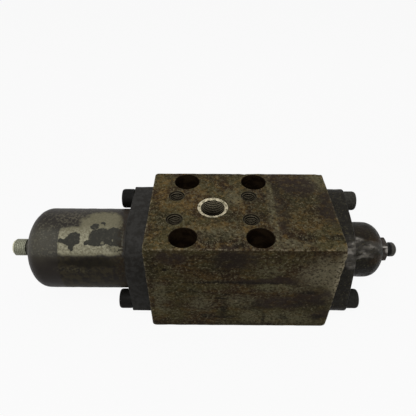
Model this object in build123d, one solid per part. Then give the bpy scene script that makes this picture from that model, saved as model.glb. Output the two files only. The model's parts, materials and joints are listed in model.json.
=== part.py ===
"""Hydraulic spool valve: a bolted-down block with a long spring cover and an end cover with a stroke stop.

Millimetres. The origin is the centre of the four mounting holes on the block's underside.
+X runs along the spool axis from the spring cover towards the end cover, +Y to the back, +Z up.
"""

import math
import os

from build123d import *

# Valve block
block_length = 142.0
block_width = 90.0
block_height = 90.0
block_edge_chamfer = 0.6
mount_center_to_left_face = 55.1

# Plain holes for the mounting bolts, right through from top to bottom
mount_spacing_x = 55.0
mount_edge_distance = 12.0
mount_hole_diameter = 20.0
mount_hole_chamfer = 0.4

# Pipe flange on the top face: four tapped holes round a threaded port
flange_center_x = -6.3
flange_spacing_x = 57.2
flange_spacing_y = 27.8
flange_tap_diameter = 10.2
flange_tap_mouth_diameter = 12.6
flange_tap_depth = 24.0
top_port_tap_diameter = 18.6
top_port_mouth_diameter = 23.4
top_port_mouth_depth = 1.3
top_port_tap_depth = 20.0
top_port_drill_diameter = 16.0

# Port in the underside, with a recess for its face seal
bottom_port_x = 20.0
bottom_port_diameter = 20.0
bottom_recess_diameter = 31.0
bottom_recess_depth = 2.4

# Spool bore and the two ring chambers that the ports open into
spool_diameter = 28.0
spool_clearance = 0.03
bore_chamfer = 1.0
top_chamber_width = 18.0
bottom_chamber_width = 22.0
chamber_depth = 4.0

# Spool
spool_stroke = 8.0
spool_overlap = 3.0
spool_neck_diameter = 17.0
spool_neck_margin = 2.7
spool_end_recess = 5.0
spool_seal_length = 33.0
stem_diameter = 15.0
stem_length = 20.0
balance_groove_width = 0.8
balance_groove_depth = 0.6
balance_groove_count = 3
balance_groove_pitch = 6.0
metering_notch_radius = 2.2
metering_notch_count = 6
spool_drilling_diameter = 5.0
spool_cross_hole_diameter = 4.0

# Socket head screws of both covers
screw_diameter = 10.0
screw_head_diameter = 16.0
screw_head_height = 10.0
screw_socket_flats = 8.0
screw_socket_depth = 5.0
screw_edge_chamfer = 0.8
screw_hole_clearance = 0.5
screw_tip_clearance = 2.0
thread_clearance = 0.05
drill_point_angle = 118.0

# Spring cover
cover_plate_size = 74.0
cover_plate_thickness = 17.0
cover_plate_edge_chamfer = 0.8
cover_screw_offset = 29.6
cover_screw_length = 30.0
cover_barrel_diameter = 66.0
cover_barrel_length = 66.5
cover_dome_depth = 18.3
cover_boss_diameter = 21.8
cover_boss_end_diameter = 14.9
cover_boss_height = 2.5
cover_cavity_diameter = 50.0
cover_shoulder_diameter = 40.0
cover_shoulder_to_dome = 5.0
cover_cavity_end_wall = 10.0

# Pilot nipple and the orifice behind it
nipple_diameter = 14.0
nipple_length = 12.8
nipple_end_chamfer = 1.3
nipple_shank_diameter = 12.0
nipple_shank_length = 6.0
nipple_bore_diameter = 5.0
nipple_cone_mouth_diameter = 10.0
nipple_cone_angle = 24.0
nipple_seal_thickness = 1.0
nipple_seal_bore_diameter = 7.0
orifice_diameter = 6.0
orifice_length = 4.2
orifice_hole_diameter = 1.2
orifice_socket_flats = 3.0
orifice_socket_depth = 2.0

# Spring set on the spool rod
rod_diameter = 12.0
rod_thread_diameter = 10.0
rod_thread_depth = 13.0
rod_sliding_clearance = 0.3
rod_nut_flats = 17.0
rod_nut_height = 8.0
rod_end_projection = 2.0
plate_thickness = 5.0
plate_boss_diameter = 31.0
plate_boss_height = 4.0
fixed_plate_clearance = 0.4
moving_plate_clearance = 1.0
plate_oil_hole_diameter = 4.0
plate_oil_hole_circle = 22.0
plate_oil_hole_count = 4
shim_thickness = 1.0
spring_wire_diameter = 5.5
spring_turns = 8.0
spring_boss_clearance = 0.5

# End cover with the stroke stop
end_plate_thickness = 16.5
end_plate_center_diameter = 63.8
end_plate_flat_distance = 31.0
end_plate_ear_diameter = 20.0
end_screw_offset = 28.85
end_screw_length = 35.0
end_barrel_diameter = 45.9
end_barrel_length = 15.8
end_dome_depth = 14.9
end_root_fillet = 1.0
end_spot_face_diameter = 23.0
end_chamber_diameter = 30.0
end_chamber_depth = 33.1

# Stroke stop: pad, adjusting screw and sealing lock nut
stop_reserve = 4.0
pad_diameter = 18.0
pad_thickness = 6.0
pad_socket_depth = 3.5
adjuster_diameter = 12.0
adjuster_tip_diameter = 8.0
adjuster_projection = 10.0
adjuster_dome_depth = 3.4
adjuster_socket_flats = 6.0
adjuster_socket_depth = 7.0
lock_nut_flats = 19.0
lock_nut_turn = 50.0
lock_nut_height = 5.0
lock_nut_recess_diameter = 16.8
lock_nut_recess_depth = 1.4

# Seals between the covers and the block
cover_seal_mean_diameter = 59.0
end_seal_mean_diameter = 39.0
seal_width = 3.4
seal_height = 2.9
seal_groove_clearance = 0.2
seal_corner_radius = 1.0
port_seal_width = 3.2
port_seal_flush_gap = 0.15

# Places that follow from the sizes above
mount_spacing_y = block_width - 2 * mount_edge_distance
axis_height = block_height / 2
left_face_x = -mount_center_to_left_face
right_face_x = left_face_x + block_length
bore_radius = spool_diameter / 2 + spool_clearance
chamber_radius = bore_radius + chamber_depth
top_chamber_x = flange_center_x
bottom_chamber_x = bottom_port_x

cover_plate_x = left_face_x - cover_plate_thickness
cover_dome_x = cover_plate_x - cover_barrel_length
cover_tip_x = cover_dome_x - cover_dome_depth
cover_boss_x = cover_tip_x - cover_boss_height
nipple_shank_x = cover_boss_x + nipple_shank_length
orifice_x = nipple_shank_x + nipple_seal_thickness
cavity_end_x = cover_tip_x + cover_cavity_end_wall
plate_seat_x = cover_dome_x + cover_shoulder_to_dome

spool_left_x = left_face_x + spool_end_recess
neck_left_x = top_chamber_x - top_chamber_width / 2 - spool_neck_margin
metering_edge_x = bottom_chamber_x - bottom_chamber_width / 2 - spool_overlap
spool_land_end_x = bottom_chamber_x + bottom_chamber_width / 2 + spool_seal_length
stem_end_x = spool_land_end_x + stem_length

end_plate_x = right_face_x + end_plate_thickness
end_dome_x = end_plate_x + end_barrel_length
end_chamber_x = right_face_x + end_chamber_depth
spot_face_drop = 1 - (end_spot_face_diameter / end_barrel_diameter) ** 2
spot_face_x = end_dome_x + end_dome_depth * math.sqrt(spot_face_drop)
lock_nut_end_x = spot_face_x + lock_nut_height

pad_left_x = stem_end_x + spool_stroke + stop_reserve
pad_right_x = pad_left_x + pad_thickness
adjuster_end_x = lock_nut_end_x + adjuster_projection


def turned_on_axis(face):
    """The solid that a profile sweeps round the spool axis, drawn with x along it and y as the radius."""
    return Pos(0, 0, axis_height) * revolve(face, Axis.X)


def turned(*corners):
    """A turned solid whose (x, radius) profile has straight sides."""
    return turned_on_axis(make_face(Polyline(*corners, close=True)))


def ring(start_x, end_x, inner_radius, outer_radius):
    """A plain ring or bush round the spool axis."""
    return turned(
        (start_x, inner_radius), (end_x, inner_radius), (end_x, outer_radius), (start_x, outer_radius)
    )


def rod(start_x, end_x, radius):
    """A plain cylinder on the spool axis."""
    return turned((start_x, 0), (end_x, 0), (end_x, radius), (start_x, radius))


def domed_barrel(start_x, shoulder_x, radius, dome_depth):
    """A round barrel on the spool axis, closed at its far end by an elliptical dome."""
    outward = math.copysign(1, shoulder_x - start_x)
    tip_x = shoulder_x + outward * dome_depth
    edges = [
        Line((tip_x, 0), (start_x, 0)),
        Line((start_x, 0), (start_x, radius)),
        Line((start_x, radius), (shoulder_x, radius)),
        EllipticalCenterArc((shoulder_x, 0), dome_depth, radius, 90, arc_size=-90 * outward),
    ]
    return turned_on_axis(make_face(edges))


def seal_ring(start_x, end_x, mean_diameter, width, corner_radius):
    """A seal pressed into its groove, with rounded edges."""
    middle = ((start_x + end_x) / 2, mean_diameter / 2)
    return turned_on_axis(Pos(*middle) * RectangleRounded(end_x - start_x, width, corner_radius))


def drill(radius, depth):
    """The tool body of a drilled hole, mouth at the origin and running down -Z to a drill point."""
    point = radius / math.tan(math.radians(drill_point_angle / 2))
    corners = [(0, 1), (radius, 1), (radius, -depth), (0, -depth - point)]
    return revolve(make_face(Plane.XZ * Polyline(*corners, close=True)), Axis.Z)


def mouth_cone(mouth_radius, hole_radius, depth):
    """The tool body of a countersunk mouth at the origin, running down -Z."""
    return Pos(0, 0, -depth / 2) * Cone(hole_radius, mouth_radius, depth)


def hexagon(flats, x, length, turn=0.0):
    """A hexagonal prism on the spool axis, from x towards +X, with a flat facing the turn angle."""
    across = RegularPolygon(flats / 2, 6, major_radius=False, rotation=30 + turn)
    return extrude(Plane.YZ.offset(x) * across, length).moved(Pos(0, 0, axis_height))


def rectangle_places(center_x, spacing_x, spacing_y):
    """The four corners of a hole pattern on a horizontal face."""
    return [
        (center_x + sx * spacing_x / 2, sy * spacing_y / 2) for sx in (-1, 1) for sy in (-1, 1)
    ]


def diagonal_places(offset):
    """The (y, z) places of a cover's two screws, on the rising diagonal through the spool axis."""
    return [(side * offset, axis_height + side * offset) for side in (-1, 1)]


def facing(x, y, z, outward):
    """The location of a hole or screw on a vertical face whose outward side is -X or +X."""
    return Pos(x, y, z) * Rot(0, 90 * outward, 0)


def valve_block():
    """The machined block: spool bore, chambers, ports, mounting holes and tapped holes."""
    block = Pos((left_face_x + right_face_x) / 2, 0, axis_height) * Box(
        block_length, block_width, block_height
    )
    block = chamfer(block.edges(), block_edge_chamfer)

    block -= rod(left_face_x - 1, right_face_x + 1, bore_radius)
    for face_x, inward in ((left_face_x, 1), (right_face_x, -1)):
        block -= turned(
            (face_x, 0), (face_x, bore_radius + bore_chamfer), (face_x + inward * bore_chamfer, bore_radius),
            (face_x + inward * bore_chamfer, 0),
        )
    for middle_x, width in ((top_chamber_x, top_chamber_width), (bottom_chamber_x, bottom_chamber_width)):
        block -= rod(middle_x - width / 2, middle_x + width / 2, chamber_radius)

    for x, y in rectangle_places(0, mount_spacing_x, mount_spacing_y):
        radius = mount_hole_diameter / 2
        block -= Pos(x, y, axis_height) * Cylinder(radius, block_height + 2)
        for location in (Pos(x, y, block_height), Pos(x, y, 0) * Rot(180, 0, 0)):
            block -= location * mouth_cone(radius + mount_hole_chamfer, radius, mount_hole_chamfer)

    tap_radius = flange_tap_diameter / 2
    tap_mouth_radius = flange_tap_mouth_diameter / 2
    for x, y in rectangle_places(flange_center_x, flange_spacing_x, flange_spacing_y):
        block -= Pos(x, y, block_height) * drill(tap_radius, flange_tap_depth)
        block -= Pos(x, y, block_height) * mouth_cone(
            tap_mouth_radius, tap_radius, tap_mouth_radius - tap_radius
        )

    port_mouth = Pos(flange_center_x, 0, block_height)
    block -= port_mouth * mouth_cone(
        top_port_mouth_diameter / 2, top_port_tap_diameter / 2, top_port_mouth_depth
    )
    block -= port_mouth * drill(top_port_tap_diameter / 2, top_port_tap_depth)
    down_to_bore = block_height - axis_height
    block -= port_mouth * Pos(0, 0, -down_to_bore / 2) * Cylinder(top_port_drill_diameter / 2, down_to_bore)

    underside = Pos(bottom_port_x, 0, 0)
    block -= underside * Pos(0, 0, axis_height / 2) * Cylinder(bottom_port_diameter / 2, axis_height)
    block -= underside * Cylinder(bottom_recess_diameter / 2, 2 * bottom_recess_depth)

    screw_radius = screw_diameter / 2 + thread_clearance
    for face_x, outward, offset, engaged in (
        (left_face_x, -1, cover_screw_offset, cover_screw_length - cover_plate_thickness),
        (right_face_x, 1, end_screw_offset, end_screw_length - end_plate_thickness),
    ):
        for y, z in diagonal_places(offset):
            block -= facing(face_x, y, z, outward) * drill(screw_radius, engaged + screw_tip_clearance)
    return block


def socket_screw(length):
    """A socket head screw, head up, with the underside of its head at the origin."""
    head_radius = screw_head_diameter / 2
    edge = screw_edge_chamfer
    corners = [
        (0, -length),
        (screw_diameter / 2 - edge, -length),
        (screw_diameter / 2, -length + edge),
        (screw_diameter / 2, 0),
        (head_radius, 0),
        (head_radius, screw_head_height - edge),
        (head_radius - edge, screw_head_height),
        (0, screw_head_height),
    ]
    screw = revolve(make_face(Plane.XZ * Polyline(*corners, close=True)), Axis.Z)
    socket = RegularPolygon(screw_socket_flats / 2, 6, major_radius=False)
    return screw - extrude(Pos(0, 0, screw_head_height - screw_socket_depth) * socket, screw_socket_depth + 1)


def cover_screws(plate_x, outward, offset, length):
    """The two screws of a cover, as separate solids."""
    placed = [facing(plate_x, y, z, outward) * socket_screw(length) for y, z in diagonal_places(offset)]
    return Compound(children=placed)


def screw_clearance_holes(plate, plate_x, outward, offset, thickness):
    """Cuts the two clearance holes through a cover's plate."""
    radius = screw_diameter / 2 + screw_hole_clearance
    for y, z in diagonal_places(offset):
        tool = Pos(0, 0, -thickness / 2) * Cylinder(radius, thickness + 2)
        plate -= facing(plate_x, y, z, outward) * tool
    return plate


def seal_groove(face_x, outward, mean_diameter):
    """The groove for a seal in the face of a cover that meets the block."""
    half_width = seal_width / 2 + seal_groove_clearance
    return ring(
        face_x - outward, face_x + outward * seal_height,
        mean_diameter / 2 - half_width, mean_diameter / 2 + half_width,
    )


def spring_cover():
    """Cast cover: a square plate with two full-round corners, and a long barrel with a domed end."""
    half = cover_plate_size / 2
    outline = Rectangle(cover_plate_size, cover_plate_size)
    round_corners = outline.vertices().filter_by(lambda v: v.X * v.Y < 0)
    outline = fillet(round_corners, half - cover_plate_edge_chamfer)
    square_corners = outline.vertices().filter_by(
        lambda v: abs(v.X * v.Y) > (half - cover_plate_edge_chamfer) ** 2
    )
    outline = chamfer(square_corners, cover_plate_edge_chamfer)
    cover = extrude(Plane.YZ.offset(cover_plate_x) * outline, cover_plate_thickness)
    cover = cover.moved(Pos(0, 0, axis_height))

    cover += domed_barrel(cover_plate_x + 1, cover_dome_x, cover_barrel_diameter / 2, cover_dome_depth)
    flare = (cover_boss_diameter - cover_boss_end_diameter) / 2
    cover += turned(
        (cover_dome_x, 0),
        (cover_boss_x, 0),
        (cover_boss_x, cover_boss_end_diameter / 2),
        (cover_boss_x + flare, cover_boss_diameter / 2),
        (cover_dome_x, cover_boss_diameter / 2),
    )

    cover -= rod(plate_seat_x, left_face_x + 1, cover_cavity_diameter / 2)
    cover -= domed_barrel(
        left_face_x, cover_dome_x, cover_shoulder_diameter / 2, cover_dome_x - cavity_end_x
    )
    cover -= seal_groove(left_face_x, -1, cover_seal_mean_diameter)
    cover = screw_clearance_holes(cover, cover_plate_x, -1, cover_screw_offset, cover_plate_thickness)

    cover -= rod(cover_boss_x - 1, orifice_x, nipple_shank_diameter / 2 + thread_clearance)
    cover -= rod(cover_boss_x, cavity_end_x + 1, orifice_diameter / 2 + thread_clearance)
    return cover


def pilot_nipple():
    """Screwed-in pipe nipple with a cone seat in its outer end."""
    outer = nipple_diameter / 2
    shank = nipple_shank_diameter / 2
    end_x = cover_boss_x - nipple_length
    mouth = nipple_cone_mouth_diameter / 2
    bore = nipple_bore_diameter / 2
    cone_length = (mouth - bore) / math.tan(math.radians(nipple_cone_angle / 2))
    cone_length = min(cone_length, nipple_length - 1)
    return turned(
        (end_x, mouth),
        (end_x, outer - nipple_end_chamfer),
        (end_x + nipple_end_chamfer, outer),
        (cover_boss_x, outer),
        (cover_boss_x, shank),
        (nipple_shank_x, shank),
        (nipple_shank_x, bore),
        (end_x + cone_length, bore),
    )


def nipple_seal():
    """Ring pressed between the nipple's inner end and the bottom of its hole."""
    outer = nipple_shank_diameter / 2 - thread_clearance
    return ring(nipple_shank_x, orifice_x, nipple_seal_bore_diameter / 2, outer)


def orifice_screw(start_x, outward):
    """A headless screw with a fine hole, its socket facing away from the start."""
    end_x = start_x + outward * orifice_length
    low_x, high_x = sorted((start_x, end_x))
    body = ring(low_x, high_x, orifice_hole_diameter / 2, orifice_diameter / 2)
    socket_x = high_x - orifice_socket_depth if outward > 0 else low_x
    return body - hexagon(orifice_socket_flats, socket_x, orifice_socket_depth)


def spring_plate(seat_x, inward, outer_radius, hole_radius):
    """A spring seat: a flat disc with a raised centring boss towards the spring."""
    boss_x = seat_x + inward * (plate_thickness + plate_boss_height)
    rim_x = seat_x + inward * plate_thickness
    plate = turned(
        (seat_x, hole_radius),
        (seat_x, outer_radius),
        (rim_x, outer_radius),
        (rim_x, plate_boss_diameter / 2),
        (boss_x, plate_boss_diameter / 2),
        (boss_x, hole_radius),
    )
    for index in range(plate_oil_hole_count):
        angle = math.radians(360 * (index + 0.5) / plate_oil_hole_count)
        y = plate_oil_hole_circle / 2 * math.cos(angle)
        z = axis_height + plate_oil_hole_circle / 2 * math.sin(angle)
        length = 2 * (plate_thickness + plate_boss_height)
        plate -= Pos(seat_x, y, z) * Rot(0, 90, 0) * Cylinder(plate_oil_hole_diameter / 2, 2 * length)
    return plate


def fixed_spring_plate():
    """The seat that rests on the block's face and lets the rod slide through it."""
    return spring_plate(
        left_face_x, -1, cover_cavity_diameter / 2 - fixed_plate_clearance,
        rod_diameter / 2 + rod_sliding_clearance,
    )


def moving_spring_plate():
    """The seat that the rod pulls along, resting on the cover's inner shoulder."""
    return spring_plate(
        plate_seat_x, 1, cover_cavity_diameter / 2 - moving_plate_clearance,
        rod_thread_diameter / 2 + thread_clearance,
    )


def spring_shim():
    """Loose ring that sets the spring's preload."""
    start_x = plate_seat_x + plate_thickness
    return ring(
        start_x, start_x + shim_thickness,
        plate_boss_diameter / 2 + spring_boss_clearance / 2,
        plate_boss_diameter / 2 + spring_boss_clearance + spring_wire_diameter,
    )


def main_spring():
    """Round-wire coil with its ends ground flat between the shim and the fixed plate."""
    start_x = plate_seat_x + plate_thickness + shim_thickness
    end_x = left_face_x - plate_thickness
    length = end_x - start_x
    pitch = length / spring_turns
    mean_radius = plate_boss_diameter / 2 + spring_boss_clearance + spring_wire_diameter / 2
    path = Helix(pitch, length, mean_radius)
    wire = Plane(path @ 0, z_dir=path % 0) * Circle(spring_wire_diameter / 2)
    coil = sweep(wire, path, is_frenet=True)
    ground = Pos(0, 0, length / 2) * Cylinder(mean_radius + spring_wire_diameter, length)
    return Pos(start_x, 0, axis_height) * Rot(0, 90, 0) * (coil & ground)


def spool_rod():
    """Rod that ties the spool to the moving spring plate, threaded at both ends."""
    shoulder_x = plate_seat_x + plate_thickness + plate_boss_height
    end_x = plate_seat_x - rod_nut_height - rod_end_projection
    thread = rod_thread_diameter / 2
    body = rod_diameter / 2
    return turned(
        (end_x, 0),
        (end_x, thread - screw_edge_chamfer),
        (end_x + screw_edge_chamfer, thread),
        (shoulder_x, thread),
        (shoulder_x, body),
        (spool_left_x, body),
        (spool_left_x, thread),
        (spool_left_x + rod_thread_depth, thread),
        (spool_left_x + rod_thread_depth, 0),
    )


def rod_nut():
    """Hexagon nut that clamps the moving plate against the rod's shoulder."""
    nut = hexagon(rod_nut_flats, plate_seat_x - rod_nut_height, rod_nut_height)
    return nut - rod(plate_seat_x - rod_nut_height - 1, plate_seat_x + 1, rod_thread_diameter / 2 + thread_clearance)


def control_spool():
    """Hardened spool: two lands, a waisted neck with a notched metering edge, and a stop stem."""
    land = spool_diameter / 2
    neck = spool_neck_diameter / 2
    stem = stem_diameter / 2
    edge = balance_groove_depth
    spool = turned(
        (spool_left_x, 0),
        (spool_left_x, land - edge),
        (spool_left_x + edge, land),
        (neck_left_x, land),
        (neck_left_x + (land - neck) / 2, neck),
        (metering_edge_x, neck),
        (metering_edge_x, land),
        (spool_land_end_x - edge, land),
        (spool_land_end_x, land - edge),
        (spool_land_end_x, stem),
        (stem_end_x - edge, stem),
        (stem_end_x, stem - edge),
        (stem_end_x, 0),
    )

    groove_floor = land - balance_groove_depth
    for land_middle in ((spool_left_x + neck_left_x) / 2, spool_land_end_x - spool_seal_length / 2):
        for index in range(balance_groove_count):
            x = land_middle + (index - (balance_groove_count - 1) / 2) * balance_groove_pitch
            spool -= ring(x, x + balance_groove_width, groove_floor, land + 1)

    for index in range(metering_notch_count):
        turn = Rot(360 * index / metering_notch_count, 0, 0)
        notch = Pos(metering_edge_x, 0, land) * Sphere(metering_notch_radius)
        spool -= Pos(0, 0, axis_height) * turn * notch

    rod_hole_end_x = spool_left_x + rod_thread_depth + screw_tip_clearance
    spool -= rod(spool_left_x - 1, rod_hole_end_x, rod_thread_diameter / 2 + thread_clearance)

    cross_x = (neck_left_x + metering_edge_x) / 2
    spool -= rod(cross_x, stem_end_x + 1, spool_drilling_diameter / 2)
    spool -= rod(stem_end_x - orifice_length, stem_end_x + 1, orifice_diameter / 2 + thread_clearance)
    spool -= Pos(cross_x, 0, axis_height) * Cylinder(spool_cross_hole_diameter / 2, spool_diameter)
    return spool


def end_cover():
    """Cast end cover: a two-eared plate, a short barrel with a domed end, and the adjuster's thread."""
    ear = end_plate_ear_diameter / 2
    ears = [Pos(side * end_screw_offset, side * end_screw_offset) * Circle(ear) for side in (-1, 1)]
    center = Circle(end_plate_center_diameter / 2)
    outline = make_hull([*center.edges(), *ears[0].edges(), *ears[1].edges()])
    reach = 2 * (end_screw_offset + ear) * math.sqrt(2)
    outline &= Rot(0, 0, 45) * Rectangle(reach, 2 * end_plate_flat_distance)
    cover = extrude(Plane.YZ.offset(right_face_x) * outline, end_plate_thickness)
    cover = cover.moved(Pos(0, 0, axis_height))

    barrel_radius = end_barrel_diameter / 2
    cover += domed_barrel(right_face_x + 1, end_dome_x, barrel_radius, end_dome_depth)
    root = cover.edges().filter_by(GeomType.CIRCLE).filter_by(
        lambda e: abs(e.radius - barrel_radius) < 0.01 and abs(e.center().X - end_plate_x) < 0.01
    )
    cover = fillet(root, end_root_fillet)
    cover -= rod(spot_face_x, spot_face_x + end_dome_depth, barrel_radius)
    cover -= rod(right_face_x - 1, end_chamber_x, end_chamber_diameter / 2)
    cover -= rod(end_chamber_x - 1, spot_face_x + 1, adjuster_diameter / 2 + thread_clearance)
    cover -= seal_groove(right_face_x, 1, end_seal_mean_diameter)
    return screw_clearance_holes(cover, end_plate_x, 1, end_screw_offset, end_plate_thickness)


def stop_pad():
    """Pressure pad that the spool's stem runs against, carried on the adjusting screw's tip."""
    pad = rod(pad_left_x, pad_right_x, pad_diameter / 2)
    pad = chamfer(pad.edges().filter_by(GeomType.CIRCLE), screw_edge_chamfer)
    socket_radius = adjuster_tip_diameter / 2 + thread_clearance
    return pad - rod(pad_right_x - pad_socket_depth, pad_right_x + 1, socket_radius)


def adjusting_screw():
    """Stroke screw with a plain tip, and a hexagon socket in its domed outer end."""
    body = adjuster_diameter / 2
    tip = adjuster_tip_diameter / 2
    screw = domed_barrel(pad_right_x, adjuster_end_x - adjuster_dome_depth, body, adjuster_dome_depth)
    screw += rod(pad_right_x - pad_socket_depth, pad_right_x + 1, tip)
    socket_x = adjuster_end_x - adjuster_socket_depth
    return screw - hexagon(adjuster_socket_flats, socket_x, adjuster_socket_depth + 1)


def lock_nut():
    """Thin sealing nut, chamfered outside, with a recess for its seal underneath."""
    nut = hexagon(lock_nut_flats, spot_face_x, lock_nut_height, lock_nut_turn)
    corner_radius = lock_nut_flats / math.sqrt(3)
    drop = corner_radius - lock_nut_flats / 2
    envelope = turned(
        (spot_face_x, 0),
        (spot_face_x, corner_radius),
        (lock_nut_end_x - drop / 2, corner_radius),
        (lock_nut_end_x, corner_radius - drop),
        (lock_nut_end_x, 0),
    )
    nut &= envelope
    nut -= rod(spot_face_x - 1, lock_nut_end_x + 1, adjuster_diameter / 2 + thread_clearance)
    return nut - rod(spot_face_x - 1, spot_face_x + lock_nut_recess_depth, lock_nut_recess_diameter / 2)


def lock_nut_seal():
    """Captive ring that closes the thread under the lock nut."""
    return ring(
        spot_face_x, spot_face_x + lock_nut_recess_depth,
        adjuster_diameter / 2 + thread_clearance, lock_nut_recess_diameter / 2 - thread_clearance,
    )


def bottom_port_seal():
    """Face seal in the underside's recess, just short of the mounting plane."""
    outer = bottom_recess_diameter / 2 - seal_groove_clearance
    section = RectangleRounded(port_seal_width, bottom_recess_depth - port_seal_flush_gap, seal_corner_radius)
    middle_z = (bottom_recess_depth + port_seal_flush_gap) / 2
    placed = Plane.XZ * Pos(outer - port_seal_width / 2, middle_z) * section
    return Pos(bottom_port_x, 0, 0) * revolve(placed, Axis.Z)


def build_parts():
    """Every sub-part by its node's name."""
    return {
        "valve_body": valve_block(),
        "bottom_port_seal": bottom_port_seal(),
        "spring_cover": spring_cover(),
        "spring_cover_screws": cover_screws(cover_plate_x, -1, cover_screw_offset, cover_screw_length),
        "spring_cover_seal": seal_ring(
            left_face_x - seal_height, left_face_x, cover_seal_mean_diameter, seal_width, seal_corner_radius
        ),
        "pilot_nipple": pilot_nipple(),
        "nipple_seal": nipple_seal(),
        "pilot_orifice": orifice_screw(orifice_x, 1),
        "fixed_spring_plate": fixed_spring_plate(),
        "main_spring": main_spring(),
        "moving_spring_plate": moving_spring_plate(),
        "spring_shim": spring_shim(),
        "spool_rod": spool_rod(),
        "rod_nut": rod_nut(),
        "control_spool": control_spool(),
        "spool_orifice": orifice_screw(stem_end_x - orifice_length, 1),
        "end_cover": end_cover(),
        "end_cover_screws": cover_screws(end_plate_x, 1, end_screw_offset, end_screw_length),
        "end_cover_seal": seal_ring(
            right_face_x, right_face_x + seal_height, end_seal_mean_diameter, seal_width, seal_corner_radius
        ),
        "stop_pad": stop_pad(),
        "adjusting_screw": adjusting_screw(),
        "lock_nut": lock_nut(),
        "lock_nut_seal": lock_nut_seal(),
    }


os.makedirs("parts", exist_ok=True)
for node, solid in build_parts().items():
    export_step(solid, f"parts/{node}.step")
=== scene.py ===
"""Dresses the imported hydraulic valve: detailed meshes, worn finishes, soft light and a camera."""

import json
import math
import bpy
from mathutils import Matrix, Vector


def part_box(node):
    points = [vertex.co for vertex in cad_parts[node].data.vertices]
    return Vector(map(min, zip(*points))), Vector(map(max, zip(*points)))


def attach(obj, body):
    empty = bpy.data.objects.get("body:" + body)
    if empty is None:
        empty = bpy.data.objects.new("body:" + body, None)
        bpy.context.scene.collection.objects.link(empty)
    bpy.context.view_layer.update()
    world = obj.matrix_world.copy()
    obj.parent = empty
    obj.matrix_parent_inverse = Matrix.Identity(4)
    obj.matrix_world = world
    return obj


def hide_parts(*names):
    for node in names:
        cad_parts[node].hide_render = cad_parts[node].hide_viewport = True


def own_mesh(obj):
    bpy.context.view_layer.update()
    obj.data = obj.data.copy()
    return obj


bl_info = {
    "name": "Hydraulic Valve Dresser",
    "version": (1, 0, 0),
    "blender": (4, 5, 0),
    "location": "3D View > Sidebar > Valve",
    "description": "Builds the detailed pieces, the worn finishes and the studio of a used hydraulic valve",
    "category": "Object",
}

from functools import cache, partialmethod, reduce
from operator import matmul, or_
from types import SimpleNamespace

import bmesh
import bpy
from mathutils import Matrix, Vector, noise

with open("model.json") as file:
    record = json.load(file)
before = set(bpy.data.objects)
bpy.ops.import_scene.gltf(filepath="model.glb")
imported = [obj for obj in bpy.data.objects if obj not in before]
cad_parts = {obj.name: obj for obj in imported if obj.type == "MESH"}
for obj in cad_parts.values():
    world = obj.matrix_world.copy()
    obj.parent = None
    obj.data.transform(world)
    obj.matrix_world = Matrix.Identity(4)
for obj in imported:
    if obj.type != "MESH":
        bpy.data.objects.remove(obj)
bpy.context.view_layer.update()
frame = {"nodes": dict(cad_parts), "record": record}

MM = 0.001


def frame_box(node):
    """The low and the high corner of one of the frame's nodes, in millimetres."""
    return [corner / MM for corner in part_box(node)]


BLOCK_LOW, BLOCK_HIGH = frame_box("valve_body")
COVER_LOW = frame_box("spring_cover")[0]
END_HIGH = frame_box("end_cover")[1]
NUT_LOW, NUT_HIGH = frame_box("lock_nut")
ADJUSTER_LOW, ADJUSTER_HIGH = frame_box("adjusting_screw")
NIPPLE_LOW, NIPPLE_HIGH = frame_box("pilot_nipple")
SPRING_LOW, SPRING_HIGH = frame_box("main_spring")
AXIS_HEIGHT = BLOCK_HIGH.z / 2

# The block's top and front face, rounded off for the patches that lie on them
TOP_Z = round(BLOCK_HIGH.z, 3)
FRONT_Y = round(BLOCK_LOW.y, 3)

# Holes of the block's top face, in millimetres
MOUNT_HOLES = [(sx * 27.5, sy * 33.0) for sx in (-1, 1) for sy in (-1, 1)]
MOUNT_HOLE_RADIUS = 10.0
MOUNT_MOUTH_RADIUS = 10.4
PORT_CENTRE = (-6.3, 0.0)
PORT_WALL_RADIUS = 10.35
PORT_CREST_RADIUS = 9.3
PORT_MOUTH_RADIUS = 11.7
PORT_MOUTH_DEPTH = 0.6
PORT_TAP_DEPTH = 20.0
PORT_DRILL_RADIUS = 8.0
PORT_DEPTH = 32.0
TAP_HOLES = [(PORT_CENTRE[0] + sx * 28.6, sy * 13.9) for sx in (-1, 1) for sy in (-1, 1)]
TAP_WALL_RADIUS = 5.95
TAP_CREST_RADIUS = 5.1
TAP_MOUTH_RADIUS = 6.3
TAP_DEPTH = 24.0

# The port of the underside, the spool bore and its two ring chambers
BOTTOM_PORT_CENTRE = (20.0, 0.0)
BOTTOM_PORT_RADIUS = 10.0
BOTTOM_PORT_DEPTH = 30.0
BOTTOM_RECESS_RADIUS = 15.5
BOTTOM_RECESS_DEPTH = 2.4
SPOOL_BORE_RADIUS = 14.03
SPOOL_MOUTH_RADIUS = 15.03
SPOOL_CHAMBER_RADIUS = 18.03
SPOOL_CHAMBERS = ((-15.3, 2.7), (9.0, 31.0))

# The cover screws: their heads, keys and how far they stand off the spool axis in Y and in Z
SCREW_HEAD_HEIGHT = 10.0
SCREW_HEAD_RADIUS = 7.82
SCREW_RADIUS = 5.0
SCREW_CORE_RADIUS = 4.15
SCREW_KEY = 8.0
SCREW_HOLE_RADIUS = 5.05
CLEARANCE_RADIUS = 5.5
COVER_SCREW_OFFSET = 29.6
COVER_SCREW_LENGTH = 30.0
END_SCREW_OFFSET = 28.85
END_SCREW_LENGTH = 35.0

# The groove of a cover's seal, which lies a gap outside the bore
SEAL_GAP = 2.6
SEAL_WIDTH = 3.8
SEAL_DEPTH = 2.9

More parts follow.
